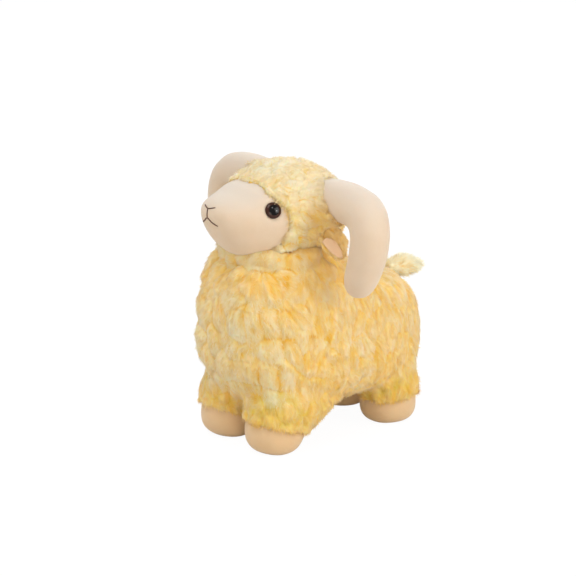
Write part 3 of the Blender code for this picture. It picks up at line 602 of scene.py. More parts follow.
def nearest(centres, points, count):
    """For each point, the numbers of the nearest centres."""
    tree = KDTree(len(centres))
    for number, centre in enumerate(centres):
        tree.insert(centre, number)
    tree.balance()
    found = np.empty((len(points), count), int)
    for row, point in enumerate(points):
        found[row] = [entry[1] for entry in tree.find_n(point, count)]
    return found


def combed_noise(points, normals, size, seed):
    """Noise drawn out along the pile: down on the sides, backwards on the back."""
    width, length = size
    upright = noise(points, np.array([width, width, length]), seed)
    lying = noise(points, np.array([width, length, width]), seed + 1)
    share = smoothstep(0.55, 0.85, np.abs(normals[:, 2]))
    return upright * (1 - share) + lying * share


def wandering(points):
    """Points pushed about by noise, so that what is laid out on them gets crooked outlines."""
    moved = points.copy()
    for number, (size, reach) in enumerate(WANDER):
        for axis in range(3):
            moved[:, axis] += noise(points, size, WANDER_NOISE + number * 3 + axis) * reach
    return moved


def lay_tufts(points, normals, lie, widths, lengths, allowed, planted, swirl, rag, even):
    """Lays tufts over a skin like shingles.

    Back come the soft domes, the creases between two tufts and the pits between three, and then for each point how
    far along its own tuft it is, that tuft's strand and tint there, the way it lies, and the crooked points.
    """
    down, across = comb_directions(normals, lie)
    down, across = turned(down, across, noise(points, SWIRL_SIZE, SWIRL_NOISE) * swirl)
    crooked = wandering(points)
    first = [int(np.argmin(np.linalg.norm(points - np.array(place), axis=1))) for place in planted]
    chosen = tuft_centres(crooked, down, across, widths, lengths, allowed, first)
    chooser = np.random.default_rng(SEED + 1)
    centre_down, centre_across = turned(down[chosen], across[chosen], chooser.normal(0, TUFT_TURN, len(chosen)))
    swell = 1 + chooser.normal(0, TUFT_SPREAD, len(chosen))
    tints = chooser.random(len(chosen))
    near = nearest(crooked[chosen], crooked, min(TUFT_NEIGHBOURS, len(chosen)))
    offset = crooked[:, None, :] - crooked[chosen][near]
    side = np.sum(offset * centre_across[near], axis=2) / widths[chosen][near]
    along = np.sum(offset * centre_down[near], axis=2) / lengths[chosen][near]
    laid = np.stack([side * STRANDS * (1 - along * STRAND_TAPER), along * STRAND_RUN, near * TUFT_APART], axis=2)
    strand = noise(laid.reshape(-1, 3), 1.0, STRAND_NOISE).reshape(side.shape)
    radius = (np.abs(side) ** TUFT_SQUARENESS + np.abs(along) ** TUFT_SQUARENESS) ** (1 / TUFT_SQUARENESS)
    tilt = (TUFT_TILT * (1 - EVEN_SHARE * even))[:, None]
    frayed = strand * np.broadcast_to(rag, len(points))[:, None]
    dome = (1 - (radius / TUFT_REACH) ** TUFT_PEAK) * swell[near] + tilt * along + frayed
    owner = np.argmax(dome, axis=1)[:, None]
    ranked = np.sort(dome, axis=1)
    best, second, third = ranked[:, -1], ranked[:, -2], ranked[:, -3]
    soft = best + np.log(np.sum(np.exp((dome - best[:, None]) * TUFT_SOFTNESS), axis=1)) / TUFT_SOFTNESS
    mine_along = np.take_along_axis(along, owner, axis=1)[:, 0]
    shown = CREASE_LEAST + (1 - CREASE_LEAST) * smoothstep(-0.35, 0.45, noise(points, CREASE_PATCH, CREASE_NOISE))
    under = 0.35 + 0.65 * smoothstep(0.15, -0.35, mine_along)
    under += (1 - under) * even * EVEN_SHARE
    crease = np.exp(-np.maximum(best - second, 0) / CREASE_WIDTH_SHARE) * shown * under
    pit = np.exp(-np.maximum(best - third, 0) / PIT_WIDTH_SHARE) * (PIT_LEAST + (1 - PIT_LEAST) * even)
    mine_strand = np.take_along_axis(strand, owner, axis=1)[:, 0]
    mine_tint = tints[np.take_along_axis(near, owner, axis=1)[:, 0]]
    grain = np.take_along_axis(centre_down[near], owner[:, :, None], axis=1)[:, 0]
    return soft, crease, pit, mine_along, mine_strand, mine_tint, grain, crooked


def tufted(
    item,
    lie,
    sizes,
    weight,
    swirl=BODY_SWIRL,
    warmth=0.0,
    pale=0.0,
    press=0.0,
    rows=1.0,
    planted=(),
    rag=STRAND_RAG,
    fluff=1.0,
    even=0.0,
):
    """Gives a mesh its tufts, and paints how pale and how warm each point is: painted shade in the hollows, painted
    light on the rises.

    Sizes are the tufts' widths, lengths and rises, and weight is how much of them a point gets.
    Swirl turns their lie, rag frays them and fluff curls them. Warmth and pale shift the tone, partly as painted
    light and shade; press draws the skin in and paints it darker there, a painted shade. Rows says where tufts may be
    centred and planted names centres. Where even is one the tufts are round puffs beside each other, and where it is
    zero each hangs over the next.
    The lie of the pile at each point comes back, for the fibres that grow there.
    """
    points, normals, _ = arrays_of(item.data)
    even = np.broadcast_to(even, len(points))
    widths, lengths, rise = (np.broadcast_to(size, len(points)) for size in sizes)
    allowed = (weight > 0.4) & (rows > 0.5)
    soft, crease, pit, along, strand, tint_of_tuft, grain, crooked = lay_tufts(
        points, normals, lie, widths, lengths, allowed, planted, swirl, rag, even
    )
    curl = combed_noise(crooked, normals, CURL_SIZE, CURL_NOISE) * fluff
    height = (np.clip(soft, -0.2, 1.3) - TUFT_LEVEL - (crease + pit) * CREASE_DEPTH_SHARE) * rise
    height += curl * CURL_HEIGHT + strand * STRAND_HEIGHT - press
    set_points(item.data, points + normals * (height * weight)[:, None])
    # Painted tone: darker at each tuft's root under the one above, in creases and pits and where tiers are drawn in,
    # a painted shade; paler where curls and strands rise, a painted light; flecks at random
    lift = LIFT_LEVEL + LIFT_ALONG * np.clip(along, -0.6, 0.6) * (1 - EVEN_SHARE * even)
    lift += LIFT_CURL * curl + LIFT_STRAND * strand - LIFT_CREASE * crease**1.2 - LIFT_PIT * pit
    flecks = smoothstep(0.35, 0.80, noise(crooked, FLECK_SIZE, FLECK_NOISE))
    lift -= LIFT_FLECK * flecks * smoothstep(0.0, 0.6, noise(points, FLECK_PATCH, FLECK_PATCH_NOISE))
    lift += pale - np.maximum(press, 0) / TIER_BULGE * LIFT_PRESS
    paint(item.data, "lift", np.clip(lift * weight + (1 - weight) * 0.4, 0, 1))
    tint = TINT_LEVEL + TINT_PATCH * noise(points, TINT_PATCH_SIZE, TINT_NOISE)
    # The creases get more orange: a painted shade
    tint = tint + TINT_TUFT * tint_of_tuft + TINT_CREASE * crease + warmth
    paint(item.data, "tint", np.clip(tint, 0, 1))
    return grain


def reach_of(points, *nodes):
    """How far each point is from the nearest of some of the frame's solids."""
    joined = bmesh.new()
    for node in nodes:
        joined.from_mesh(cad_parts[node].data)
    tree = BVHTree.FromBMesh(joined)
    joined.free()
    return gaps_to(tree, points)


def wavy_height(points):
    """Height above the floor with the waves that the rows of tufts have."""
    height = points[:, 2]
    for number, (size, share) in enumerate(WAVES):
        height = height + noise(points, size, WAVE_NOISE + number) * TIER_WAVE * share
    return height


def tier_press(points, share):
    """How far the tiers of the chest draw in above and let out below, with wavy creases between them."""
    height = wavy_height(points)
    press = np.zeros(len(points))
    for crease in TIER_CREASES:
        below = np.clip((crease - height) / (TIER_CREASES[1] - TIER_CREASES[0]), 0, 1)
        above = np.clip((height - crease) / TIER_LIP, 0, 1)
        drawn = np.where(height < crease, np.exp(-below * TIER_FADE), 1 - smoothstep(0, 1, above))
        press = np.maximum(press, drawn)
    shown = TIER_LEAST + (1 - TIER_LEAST) * smoothstep(-0.3, 0.4, noise(points, TIER_PATCH, TIER_NOISE))
    fill = sum(falloff(points[:, 2] - crease, TIER_FILL_REACH) for crease in TIER_CREASES[1:])
    return press * shown * share * TIER_BULGE - fill * share * TIER_FILL


def row_places(points, share):
    """One where a tuft may be centred: on the middle of a tier, and anywhere outside the tiers."""
    height = wavy_height(points)
    spacing = TIER_CREASES[1] - TIER_CREASES[0]
    off = np.abs((height - TIER_CREASES[0]) / spacing % 1.0 - 0.5) * spacing
    return np.where((share < 0.5) | (off < ROW_SPREAD), 1.0, 0.0)


def scattered(mesh, allowed, count, chooser):
    """Random places on a mesh, each as the corners of a triangle and the shares that they have in it."""
    mesh.calc_loop_triangles()
    corners = np.empty(len(mesh.loop_triangles) * 3, int)
    mesh.loop_triangles.foreach_get("vertices", corners)
    corners = corners.reshape(-1, 3)
    corners = corners[allowed[corners].all(axis=1)]
    points, _, _ = arrays_of(mesh)
    first, second, third = (points[corners[:, k]] for k in range(3))
    area = np.linalg.norm(np.cross(second - first, third - first), axis=1)
    picks = chooser.choice(len(corners), count, p=area / area.sum())
    share = chooser.random((count, 2))
    over = share.sum(axis=1) > 1
    share[over] = 1 - share[over]
    return corners[picks], np.column_stack([1 - share.sum(axis=1), share])


def fibre_mesh(name, places):
    """A mesh of fibres from five points for each: a strip of four and a tip."""
    count = len(places)
    mesh = bpy.data.meshes.new(name)
    mesh.vertices.add(count * 5)
    mesh.vertices.foreach_set("co", places.astype(np.float32).ravel())
    loops = (np.arange(count)[:, None] * 5 + np.array([0, 1, 2, 3, 3, 2, 4])).ravel()
    mesh.loops.add(len(loops))
    mesh.loops.foreach_set("vertex_index", loops.astype(np.int32))
    starts = (np.arange(count)[:, None] * 7 + np.array([0, 4])).ravel()
    mesh.polygons.add(count * 2)
    mesh.polygons.foreach_set("loop_start", starts.astype(np.int32))
    mesh.update(calc_edges=True)
    mesh.validate()
    mesh.shade_smooth()
    return mesh


def fibres(name, item, grain, count, length, allowed, stand=FIBRE_STAND):
    """Thin tapering fibres on a fleece, each of its own tone, shaded like the surface that they stand on."""
    chooser = np.random.default_rng(SEED + 2)
    face, shares = scattered(item.data, allowed, count, chooser)
    points, normals, _ = arrays_of(item.data)
    root = np.sum(points[face] * shares[:, :, None], axis=1)
    normal = unit(np.sum(normals[face] * shares[:, :, None], axis=1))
    lift = np.sum(painted(item.data, "lift")[face] * shares, axis=1) + chooser.normal(0, FIBRE_TONE, count)
    down, across = comb_directions(normal, grain[face[:, 0]])
    swing = chooser.normal(0, FIBRE_SWING, (count, 1))
    lean = unit(normal * stand + down + across * swing)
    bend = swing + chooser.normal(0, FIBRE_BEND, (count, 1))
    hang = unit(normal * stand * FIBRE_DROOP + down + across * bend)
    reach = (length * (FIBRE_LEAST + chooser.random(count) * FIBRE_SPREAD))[:, None]
    side = unit(np.cross(lean, normal))
    half = FIBRE_WIDTH / 2
    low = root - normal * length * FIBRE_ROOT
    middle = low + lean * reach * FIBRE_JOINT
    tip = middle + hang * reach * FIBRE_TIP
    narrow = side * half * FIBRE_TAPER
    corners = [low - side * half, low + side * half, middle + narrow, middle - narrow, tip]
    mesh = fibre_mesh(name, np.stack(corners, axis=1))
    sideways, lengthways = (chooser.normal(0, spread, (count, 1)) for spread in FIBRE_SHADING)
    shaded = unit(normal + across * sideways + down * lengthways)
    mesh.normals_split_custom_set_from_vertices(np.repeat(shaded, 5, axis=0).tolist())
    paint(mesh, "lift", np.clip(lift[:, None] + np.array(FIBRE_TONES), 0, 1).ravel())
    paint(mesh, "tint", np.repeat(painted(item.data, "tint")[face[:, 0]], 5))
    return add_object(name, mesh)


# Materials


def node_of(tree, kind, **settings):
    """Adds a node with some of its properties set."""
    node = tree.nodes.new(kind)
    for name, value in settings.items():
        setattr(node, name, value)
    return node


def new_material(name, roughness, **sockets):
    """A Principled material with uniform values on its own sockets; returns it, its tree and shader."""
    material = bpy.data.materials.new(name)
    material.use_nodes = True
    tree = material.node_tree
    shader = tree.nodes["Principled BSDF"]
    shader.inputs["Roughness"].default_value = roughness
    for socket, value in sockets.items():
        shader.inputs[socket.replace("_", " ")].default_value = value
    return material, tree, shader


def noise_node(tree, scale, detail=3.0, roughness=0.55, vector=None):
    """A noise texture in object space."""
    node = node_of(tree, "ShaderNodeTexNoise")
    node.inputs["Scale"].default_value = scale
    node.inputs["Detail"].default_value = detail
    node.inputs["Roughness"].default_value = roughness
    if vector is None:
        vector = node_of(tree, "ShaderNodeTexCoord").outputs["Object"]
    tree.links.new(vector, node.inputs["Vector"])
    return node.outputs["Fac"]


def mixed_colour(tree, factor, first, second, blend="MIX"):
    """Mixes two colours, each a value or a socket."""
    node = node_of(tree, "ShaderNodeMix", data_type="RGBA", blend_type=blend)
    for socket, value in ((node.inputs["Factor"], factor), (node.inputs[6], first), (node.inputs[7], second)):
        if isinstance(value, bpy.types.NodeSocket):
            tree.links.new(value, socket)
        elif isinstance(value, tuple):
            socket.default_value = (*value, 1.0)
        else:
            socket.default_value = value
    return node.outputs[2]


def ramp(tree, factor, stops):
    """A colour ramp over a factor."""
    node = node_of(tree, "ShaderNodeValToRGB")
    tree.links.new(factor, node.inputs["Fac"])
    points = node.color_ramp.elements
    while len(points) < len(stops):
        points.new(0.5)
    for point, (place, colour) in zip(points, stops):
        point.position = place
        point.color = (*colour, 1.0)
    return node.outputs["Color"]


def speckled(tree, colour, scale, detail, dark, span=(0.3, 0.7)):
    """A colour with fine darker specks."""
    specks = ramp(tree, noise_node(tree, scale, detail), ((span[0], dark), (span[1], WHITE)))
    return mixed_colour(tree, 1.0, colour, specks, "MULTIPLY")


def bump(tree, height, distance, strength, shader):
    """Adds a bump of a given depth to a shader."""
    node = node_of(tree, "ShaderNodeBump")
    node.inputs["Distance"].default_value = distance
    node.inputs["Strength"].default_value = strength
    tree.links.new(height, node.inputs["Height"])
    tree.links.new(node.outputs["Normal"], shader.inputs["Normal"])


def attribute(tree, name):
    """Reads a painted number."""
    return node_of(tree, "ShaderNodeAttribute", attribute_name=name).outputs["Fac"]


def fleece_material(name, depth, light_gain=1.0):
    """Tufted fleece: deep between the tufts and pale on their crowns, a painted shade and light, with fine streaks of
    pile.
    """
    material, tree, shader = new_material(
        name,
        0.95,
        Sheen_Weight=0.5,
        Sheen_Roughness=0.5,
        Subsurface_Weight=depth,
        Subsurface_Radius=(1.0, 0.62, 0.25),
        Subsurface_Scale=0.007,
    )
    # Above one, every colour is brightened: a painted light on the ears and tail
    stops = tuple((place, tuple(min(channel * light_gain, 1.0) for channel in colour)) for place, colour in FLEECE_STOPS)
    base = ramp(tree, attribute(tree, "lift"), stops)
    # Orange by the painted tint: random patches and tufts, and painted shade in creases and in the pockets under
    # horns and ears
    warm = mixed_colour(tree, ORANGE_SHARE, base, FLEECE_ORANGE)
    by_tuft = mixed_colour(tree, attribute(tree, "tint"), base, warm)
    patched = speckled(tree, by_tuft, 55, 2.0, (0.98, 0.96, 0.91), (0.35, 0.65))
    tree.links.new(speckled(tree, patched, 1100, 3.0, (0.97, 0.95, 0.90)), shader.inputs["Base Color"])
    bump(tree, noise_node(tree, 900, 4.0), 0.0006, 0.7, shader)
    return material


def velour_material(name, colour, crown):
    """Short brushed pile: paler where it faces up, a painted top light, with faint cloudy patches where it lies over,
    and a fine nap.
    """
    material, tree, shader = new_material(
        name,
        0.9,
        Sheen_Weight=0.35,
        Sheen_Roughness=0.45,
        Subsurface_Weight=0.2,
        Subsurface_Radius=(1.0, 0.6, 0.4),
        Subsurface_Scale=0.002,
    )
    dark = tuple(channel * share for channel, share in zip(colour, (0.98, 0.97, 0.955)))
    lower = ramp(tree, noise_node(tree, 70, 3.0), ((0.38, dark), (0.62, colour)))
    # Paler where it faces up: a painted top light
    cloudy = mixed_colour(tree, attribute(tree, "top_light"), lower, crown)
    tree.links.new(speckled(tree, cloudy, 2600, 2.0, (0.95, 0.94, 0.92)), shader.inputs["Base Color"])
    bump(tree, noise_node(tree, 2200, 3.0), 0.00025, 0.5, shader)
    return material


def eye_material():
    """Moulded eye: a black pupil seen through a clear brown dome."""
    material, tree, shader = new_material("eye_plastic", 0.05, Specular_IOR_Level=0.28)
    edge = ramp(tree, attribute(tree, "ring"), ((0.60, EYE_BLACK), (0.72, EYE_BROWN)))
    tree.links.new(speckled(tree, edge, 700, 2.0, (0.86, 0.84, 0.82)), shader.inputs["Base Color"])
    return material


def thread_material():
    """Twisted brown thread."""
    material, tree, shader = new_material("thread", 0.7)
    tree.links.new(speckled(tree, THREAD_BROWN, 1500, 2.0, (0.6, 0.6, 0.6)), shader.inputs["Base Color"])
    bump(tree, noise_node(tree, 3000, 2.0), 0.0001, 0.6, shader)
    return material


def washer_material():
    """Lightly mottled plastic of the washers inside."""
    material, tree, shader = new_material("washer_plastic", 0.5)
    tree.links.new(speckled(tree, WASHER_WHITE, 300, 3.0, (0.9, 0.9, 0.9)), shader.inputs["Base Color"])
    return material


def paint_top_light(item):
    """Paints how far each part of a velour piece faces up, with soft borders, for a paler painted top light."""
    _, normals, edges = arrays_of(item.data)
    paint(item.data, "top_light", relaxed(smoothstep(-0.1, 1.0, normals[:, 2:]), edges, TOP_LIGHT_ROUNDS)[:, 0])


def dress(item, material, body="sheep_body"):
    """Gives a piece its material and the body that it rides on."""
    item.data.materials.clear()
    item.data.materials.append(material)
    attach(item, body)


# Pieces


def node_names(*starts):
    """The frame's nodes whose names begin with any of the words."""
    return sorted(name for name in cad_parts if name.startswith(starts))


def middle_of(node):
    """The middle of a node's box."""
    low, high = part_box(node)
    return (np.array(low) + np.array(high)) / 2


def body_zones(points, normals):
    """How much each point of the body belongs to each zone of its fleece."""
    front = smoothstep(*FRONT_FACING, -normals[:, 1] + np.clip(-points[:, 1] - FRONT_START, 0, 1) * FRONT_GAIN)
    leg = 1 - smoothstep(*LEG_TOP, points[:, 2])
    chest = front * (1 - smoothstep(*CHEST_TOP, points[:, 2])) * (1 - leg)
    ahead = smoothstep(*RUFF_BACK, points[:, 1])
    ruff = ahead * smoothstep(*RUFF_START, points[:, 2])
    throat = np.maximum(front, ahead * smoothstep(*NECK_START, points[:, 2]))
    return {
        "chest": chest,
        "neck": throat * (1 - chest) * (1 - ruff) * (1 - leg),
        "leg": leg,
        "ruff": ruff,
        "low": (1 - smoothstep(*BELLY_HEIGHTS, points[:, 2])) * (1 - chest),
        "near_head": falloff(reach_of(points, *EAR_BACKS, *HORNS), NEAR_HEAD),
        "near_ear": falloff(reach_of(points, *EAR_BACKS), NEAR_EAR),
    }


def tufts_by_zone(zones):
    """Width, length and rise of the tufts at each point of the body."""
    blended = []
    for number, size in enumerate(TUFTS["flank"]):
        value = size
        for name in ("chest", "neck", "leg"):
            value = value + (TUFTS[name][number] - size) * zones[name]
        blended.append(value + (TUFTS["ruff"][number] - value) * zones["ruff"])
    return blended


def summed(value, shares, zones):
    """A value with what each zone adds to it."""
    for name, share in shares.items():
        value = value + share * zones[name]
    return value


def swollen_body(item):
    """Puffs the body out at the hems of the legs, against the head and at the tail; returns where the hems are."""
    points, normals, _ = arrays_of(item.data)
    hem = falloff(reach_of(points, *node_names("foot_")), HEM_REACH)
    points = points + unit(normals * np.array([1.0, 1.0, 0.0])) * (hem * HEM_PUFF)[:, None]
    under_head = falloff(reach_of(points, "head_cover", "face_panel"), RUFF_REACH)
    points = points + normals * (under_head * RUFF_PUFF)[:, None]
    under_tail = falloff(reach_of(points, "tail"), TAIL_REACH)
    set_points(item.data, points + normals * (under_tail * TAIL_PUFF)[:, None])
    return hem


def make_body(material, fibre):
    """Body and legs as one tufted fleece: rows of puffs down the chest, streaks on the flanks, flaps at the neck."""
    nodes = ["body_cover", "body_filling"] + [name for name in node_names("leg_") if "filling" not in name]
    item = remeshed("body_fleece", nodes, BODY_VOXEL, BODY_ROUNDS)
    hem = swollen_body(item)
    points, normals, _ = arrays_of(item.data)
    zones = body_zones(points, normals)
    chest, ruff = zones["chest"], zones["ruff"]
    puffed = np.maximum(chest, ruff)
    tiers = chest * smoothstep(*UPRIGHT_FACING, np.linalg.norm(normals[:, :2], axis=1))
    weight = np.ones(len(points))
    grain = tufted(
        item,
        BODY_LIE,
        tufts_by_zone(zones),
        weight,
        # Near head and ears the orange is a painted shade and the pallor a painted light; the chest's lower warmth is
        # a painted light on the front
        warmth=summed(BODY_WARMTH, ZONE_WARMTH, zones),
        pale=summed(0.0, ZONE_PALE, zones),
        press=tier_press(points, tiers),
        rows=row_places(points, tiers),
        planted=[(x * side, y, z) for x, y, z in RUFF_FLAPS for side in (1, -1)],
        rag=STRAND_RAG + (PUFF_RAG - STRAND_RAG) * puffed,
        fluff=1 - 0.5 * puffed,
        even=np.maximum.reduce([chest, zones["leg"] * 0.5, ruff * 0.5]),
    )
    dress(item, material)
    fuzz = fibres("body_fuzz", item, grain, BODY_FIBRES, FIBRE_LENGTH, weight > 0)
    fringe = fibres("leg_fringe", item, grain, RIM_FIBRES, RIM_LENGTH, hem > HEM_FRINGE, HEM_STAND)
    for piece in (fuzz, fringe):
        dress(piece, fibre)
    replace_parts(item, "body_cover", "body_filling", *node_names("leg_"))


def make_head(material, fibre):
    """The fleece over crown, cheeks and nape, puffed up where it meets the face and the horns."""
    item = remeshed("head_fleece", ["head_cover"], HEAD_VOXEL, HEAD_ROUNDS)
    points, normals, _ = arrays_of(item.data)
    weight = smoothstep(*OUTER_FACING, np.sum(unit(points - middle_of("head_cover")) * normals, axis=1))
    face = tree_of(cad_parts["face_panel"].data)
    seam = gaps_to(face, points)
    facing = np.array([face.find_nearest(point)[0] for point in points])
    forward = unit(facing - points)
    sideways = np.sign(points[:, :1]) * np.array([1.0, 0.0, 0.0])
    brow = smoothstep(*BROW_HEIGHTS, facing[:, 2])
    flat = smoothstep(*FLAT_HEIGHTS, facing[:, 2])
    edge = falloff(seam, EDGE_REACH) * weight
    lap = falloff(seam, EDGE_REACH * LAP_SHARE) * weight * EDGE_LAP
    horn = reach_of(points, *HORNS)
    collar = falloff(horn, COLLAR_REACH) * weight
    ear = falloff(reach_of(points, *EAR_BACKS), EAR_REACH) * weight
    beneath = falloff(horn, BENEATH_REACH) * smoothstep(*BENEATH_HEIGHTS, points[:, 2]) * weight
    moved = points + normals * (edge * EDGE_PUFF * (1 - flat - brow * BROW_SINK) + collar * COLLAR_PUFF)[:, None]
    moved += forward * (lap * (1 - brow))[:, None] + sideways * (collar * COLLAR_LAP)[:, None]
    moved[:, 1] += falloff(seam, BROW_REACH) * brow * BROW_BACK
    moved += sideways * (np.maximum(ear, beneath * BENEATH_PUFF) * EAR_PUFF)[:, None]
    set_points(item.data, moved)
    across = np.abs(points[:, 0])
    zones = {
        "side": smoothstep(*SIDE_REACH, across),
        "cheek": smoothstep(*CHEEK_REACH, across),
        "crown": smoothstep(*CROWN_FACING, normals[:, 2]),
        "ear": ear,
        "beneath": beneath,
        "edge": edge,
    }
    grain = tufted(
        item,
        HEAD_LIE,
        TUFTS["head"],
        weight,
        swirl=HEAD_SWIRL,
        # The orange at the ear, beneath the horns and along the face is a painted shade; the paler top and cheeks a
        # painted light
        warmth=summed(0.0, HEAD_WARMTH, zones),
        pale=summed(0.0, HEAD_PALE, zones),
    )
    dress(item, material)
    to_face = falloff(seam, COMB_REACH)[:, None] * (1 - brow * BROW_COMB)[:, None]
    to_horn = falloff(horn, COMB_REACH)[:, None]
    grain = grain * (1 - np.clip(to_face + to_horn, 0, 1)) + forward * to_face + sideways * to_horn
    border = (weight > 0.3) & ((seam < FACE_BORDER) | (horn < HORN_BORDER))
    fuzz = fibres("head_fuzz", item, grain, HEAD_FIBRES, FIBRE_LENGTH * 0.9, weight > 0.5)
    fringe = fibres("head_fringe", item, grain, EDGE_FIBRES, EDGE_LENGTH, border, EDGE_STAND)
    for piece in (fuzz, fringe):
        dress(piece, fibre)
    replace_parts(item, "head_cover", "head_filling")


def make_muzzle(material):
    """The velour face, stuffed from behind, with dents at the eyes."""
    item = remeshed("muzzle", ["face_panel", "head_filling"], VELOUR_VOXEL, MUZZLE_ROUNDS)
    points, _, _ = arrays_of(item.data)
    reach = gaps_to(tree_of(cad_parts["face_panel"].data), points)
    keep_where(item, reach < np.where(points[:, 2] > BROW_HEIGHTS[0], BROW_REACH, PANEL_MARGIN))
    points, normals, _ = arrays_of(item.data)
    press = np.full(len(points), -MUZZLE_SWELL)
    for side in SIDES:
        gap = np.linalg.norm(points - middle_of("eye_" + side), axis=1)
        press += EYE_DENT * falloff(gap, EYE_DENT_REACH)
    set_points(item.data, points - normals * press[:, None])
    paint_top_light(item)
    dress(item, material)
    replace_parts(item, "face_panel")
    return item


def make_velour(name, nodes, hidden, swell, material, floor=False):
    """A stuffed velour piece: a horn or a foot."""
    item = remeshed(name, nodes, VELOUR_VOXEL, VELOUR_ROUNDS)
    points, normals, _ = arrays_of(item.data)
    pucker = swell + noise(points, PUCKER_SIZE, PUCKER_NOISE) * PUCKER_DEPTH
    points = points + normals * pucker[:, None]
    if floor:
        points[:, 2] = np.maximum(points[:, 2], 0.0)
    set_points(item.data, points)
    paint_top_light(item)
    dress(item, material)
    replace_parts(item, *hidden)


def make_ear(side, fleece, fibre, velour):
    """An ear: fleece behind, velour lining on its outer face."""
    back = remeshed(f"ear_{side}_fleece", [f"ear_{side}_back"], SMALL_VOXEL, SMALL_ROUNDS)
    turn = 1 if side == "left" else -1
    lie = unit(np.array(EAR_LIE) * (turn, 1, 1))
    rearward = unit(np.array([0.0, 1.0, 0.0]) - lie * lie[1])
    outward = np.cross(lie, rearward) * turn
    middle = middle_of(f"ear_{side}_lining")
    points, _, _ = arrays_of(back.data)
    reach = (points - middle) @ rearward / EAR_HALF_WIDTH
    rim = smoothstep(*EAR_REAR_EDGE, reach) + smoothstep(*EAR_FRONT_EDGE, reach) * EAR_FRONT_SHARE
    outer = smoothstep(*EAR_FACE, (points - middle) @ outward)
    fuller = rearward * (smoothstep(*EAR_SPREAD_SPAN, reach) * EAR_SPREAD)[:, None]
    set_points(back.data, points + outward * (rim * outer * EAR_RIM)[:, None] + fuller)
    everywhere = np.ones(len(points))
    # The ear is painted paler: a painted light
    grain = tufted(back, lie, TUFTS["ear"], everywhere, warmth=EAR_WARMTH, pale=EAR_PALE)
    fuzz = fibres(f"ear_{side}_fuzz", back, grain, EAR_FIBRES, FIBRE_LENGTH * 0.7, everywhere > 0)
    lining = remeshed(f"ear_{side}_velour", [f"ear_{side}_lining"], SMALL_VOXEL, SMALL_ROUNDS)
    points, _, _ = arrays_of(lining.data)
    spread = (points - middle) @ rearward
    whole = smoothstep(*LINING_TOP, (points - middle) @ lie)
    share = LINING_SHARE * (LINING_TAPER + (1 - LINING_TAPER) * whole)
    narrowed = (spread + EAR_HALF_WIDTH * LINING_FRONT) * (share - 1)
    set_points(lining.data, points + rearward * narrowed[:, None])
    paint_top_light(lining)
    for piece, material, slot in ((back, fleece, "fleece"), (fuzz, fibre, "fleece"), (lining, velour, "velour")):
        dress(piece, material, "ear_" + side)
    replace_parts(back, f"ear_{side}_back")
    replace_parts(lining, f"ear_{side}_lining")


def make_tail(material, fibre):
    """The tufted tail."""
    item = remeshed("tail_fleece", ["tail"], SMALL_VOXEL, SMALL_ROUNDS)
    everywhere = np.ones(len(item.data.vertices))
    # The tail is painted paler and less orange: a painted light
    grain = tufted(item, TAIL_LIE, TUFTS["tail"], everywhere, warmth=TAIL_WARMTH, pale=TAIL_PALE)
    fuzz = fibres("tail_fuzz", item, grain, TAIL_FIBRES, FIBRE_LENGTH * 1.2, everywhere > 0, TAIL_STAND)
    for piece, cloth in ((item, material), (fuzz, fibre)):
        dress(piece, cloth, "tail")
    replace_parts(item, "tail")


def eye_profile(radius, dome):
    """Radius and height of a moulded eye from its stem to the top of its dome."""
    stem = -EYE_STEM * dome
    profile = [(0.0, stem), (radius * EYE_STEM_RADIUS, stem), (radius, 0.0), (radius, dome * EYE_RIM)]
    for step in range(1, EYE_STEPS):
        angle = math.pi / 2 * step / EYE_STEPS
        height = dome * (EYE_SHOULDER + (1 - EYE_SHOULDER) * math.sin(angle))
        profile.append((radius * EYE_SHOULDER_RADIUS * math.cos(angle), height))
    return profile + [(0.0, dome)]


def lathed(name, profile, centre, along):
    """A mesh turned from a profile around an axis."""
    first = unit(np.cross(along, (0.0, 0.0, 1.0)))
    second = np.cross(along, first)
    shape = bmesh.new()
    loops = []
    for radius, height in profile:
        ring = []
        for number in range(EYE_SIDES if radius else 1):
            angle = math.tau * number / EYE_SIDES
            out = first * math.cos(angle) + second * math.sin(angle)
            ring.append(shape.verts.new(centre + along * height + out * radius))
        loops.append(ring)
    for lower, upper in zip(loops, loops[1:]):
        for number in range(EYE_SIDES):
            after = (number + 1) % EYE_SIDES
            corners = [lower[number % len(lower)], lower[after % len(lower)]]
            corners += [upper[after % len(upper)], upper[number % len(upper)]]
            shape.faces.new(list(dict.fromkeys(corners)))
    return smooth_mesh(name, shape)


def make_eye(side, material):
    """A moulded eye with a clear dome, a pupil and a narrow rim."""
    points, _, _ = arrays_of(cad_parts["eye_" + side].data)
    middle = points.mean(axis=0)
    spread = points - middle
    _, _, axes = np.linalg.svd(spread, full_matrices=False)
    along = axes[0]
    if along[0] * (1 if side == "left" else -1) < 0:
        along = -along
    heights = spread @ along
    radii = np.linalg.norm(spread - heights[:, None] * along, axis=1)
    radius = radii.max()
    back = heights[radii > radius * 0.97].min()
    dome = (heights.max() - back) * EYE_FLATNESS
    centre = middle + along * (back - EYE_SINK)
    mesh = lathed(f"eye_{side}_dome", eye_profile(radius, dome), centre, along)
    places, _, _ = arrays_of(mesh)
    ahead = (places - centre) @ along
    paint(mesh, "ring", np.linalg.norm(places - centre - ahead[:, None] * along, axis=1) / radius)
    item = add_object(f"eye_{side}_dome", mesh)
    dress(item, material)
    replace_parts(item, "eye_" + side)


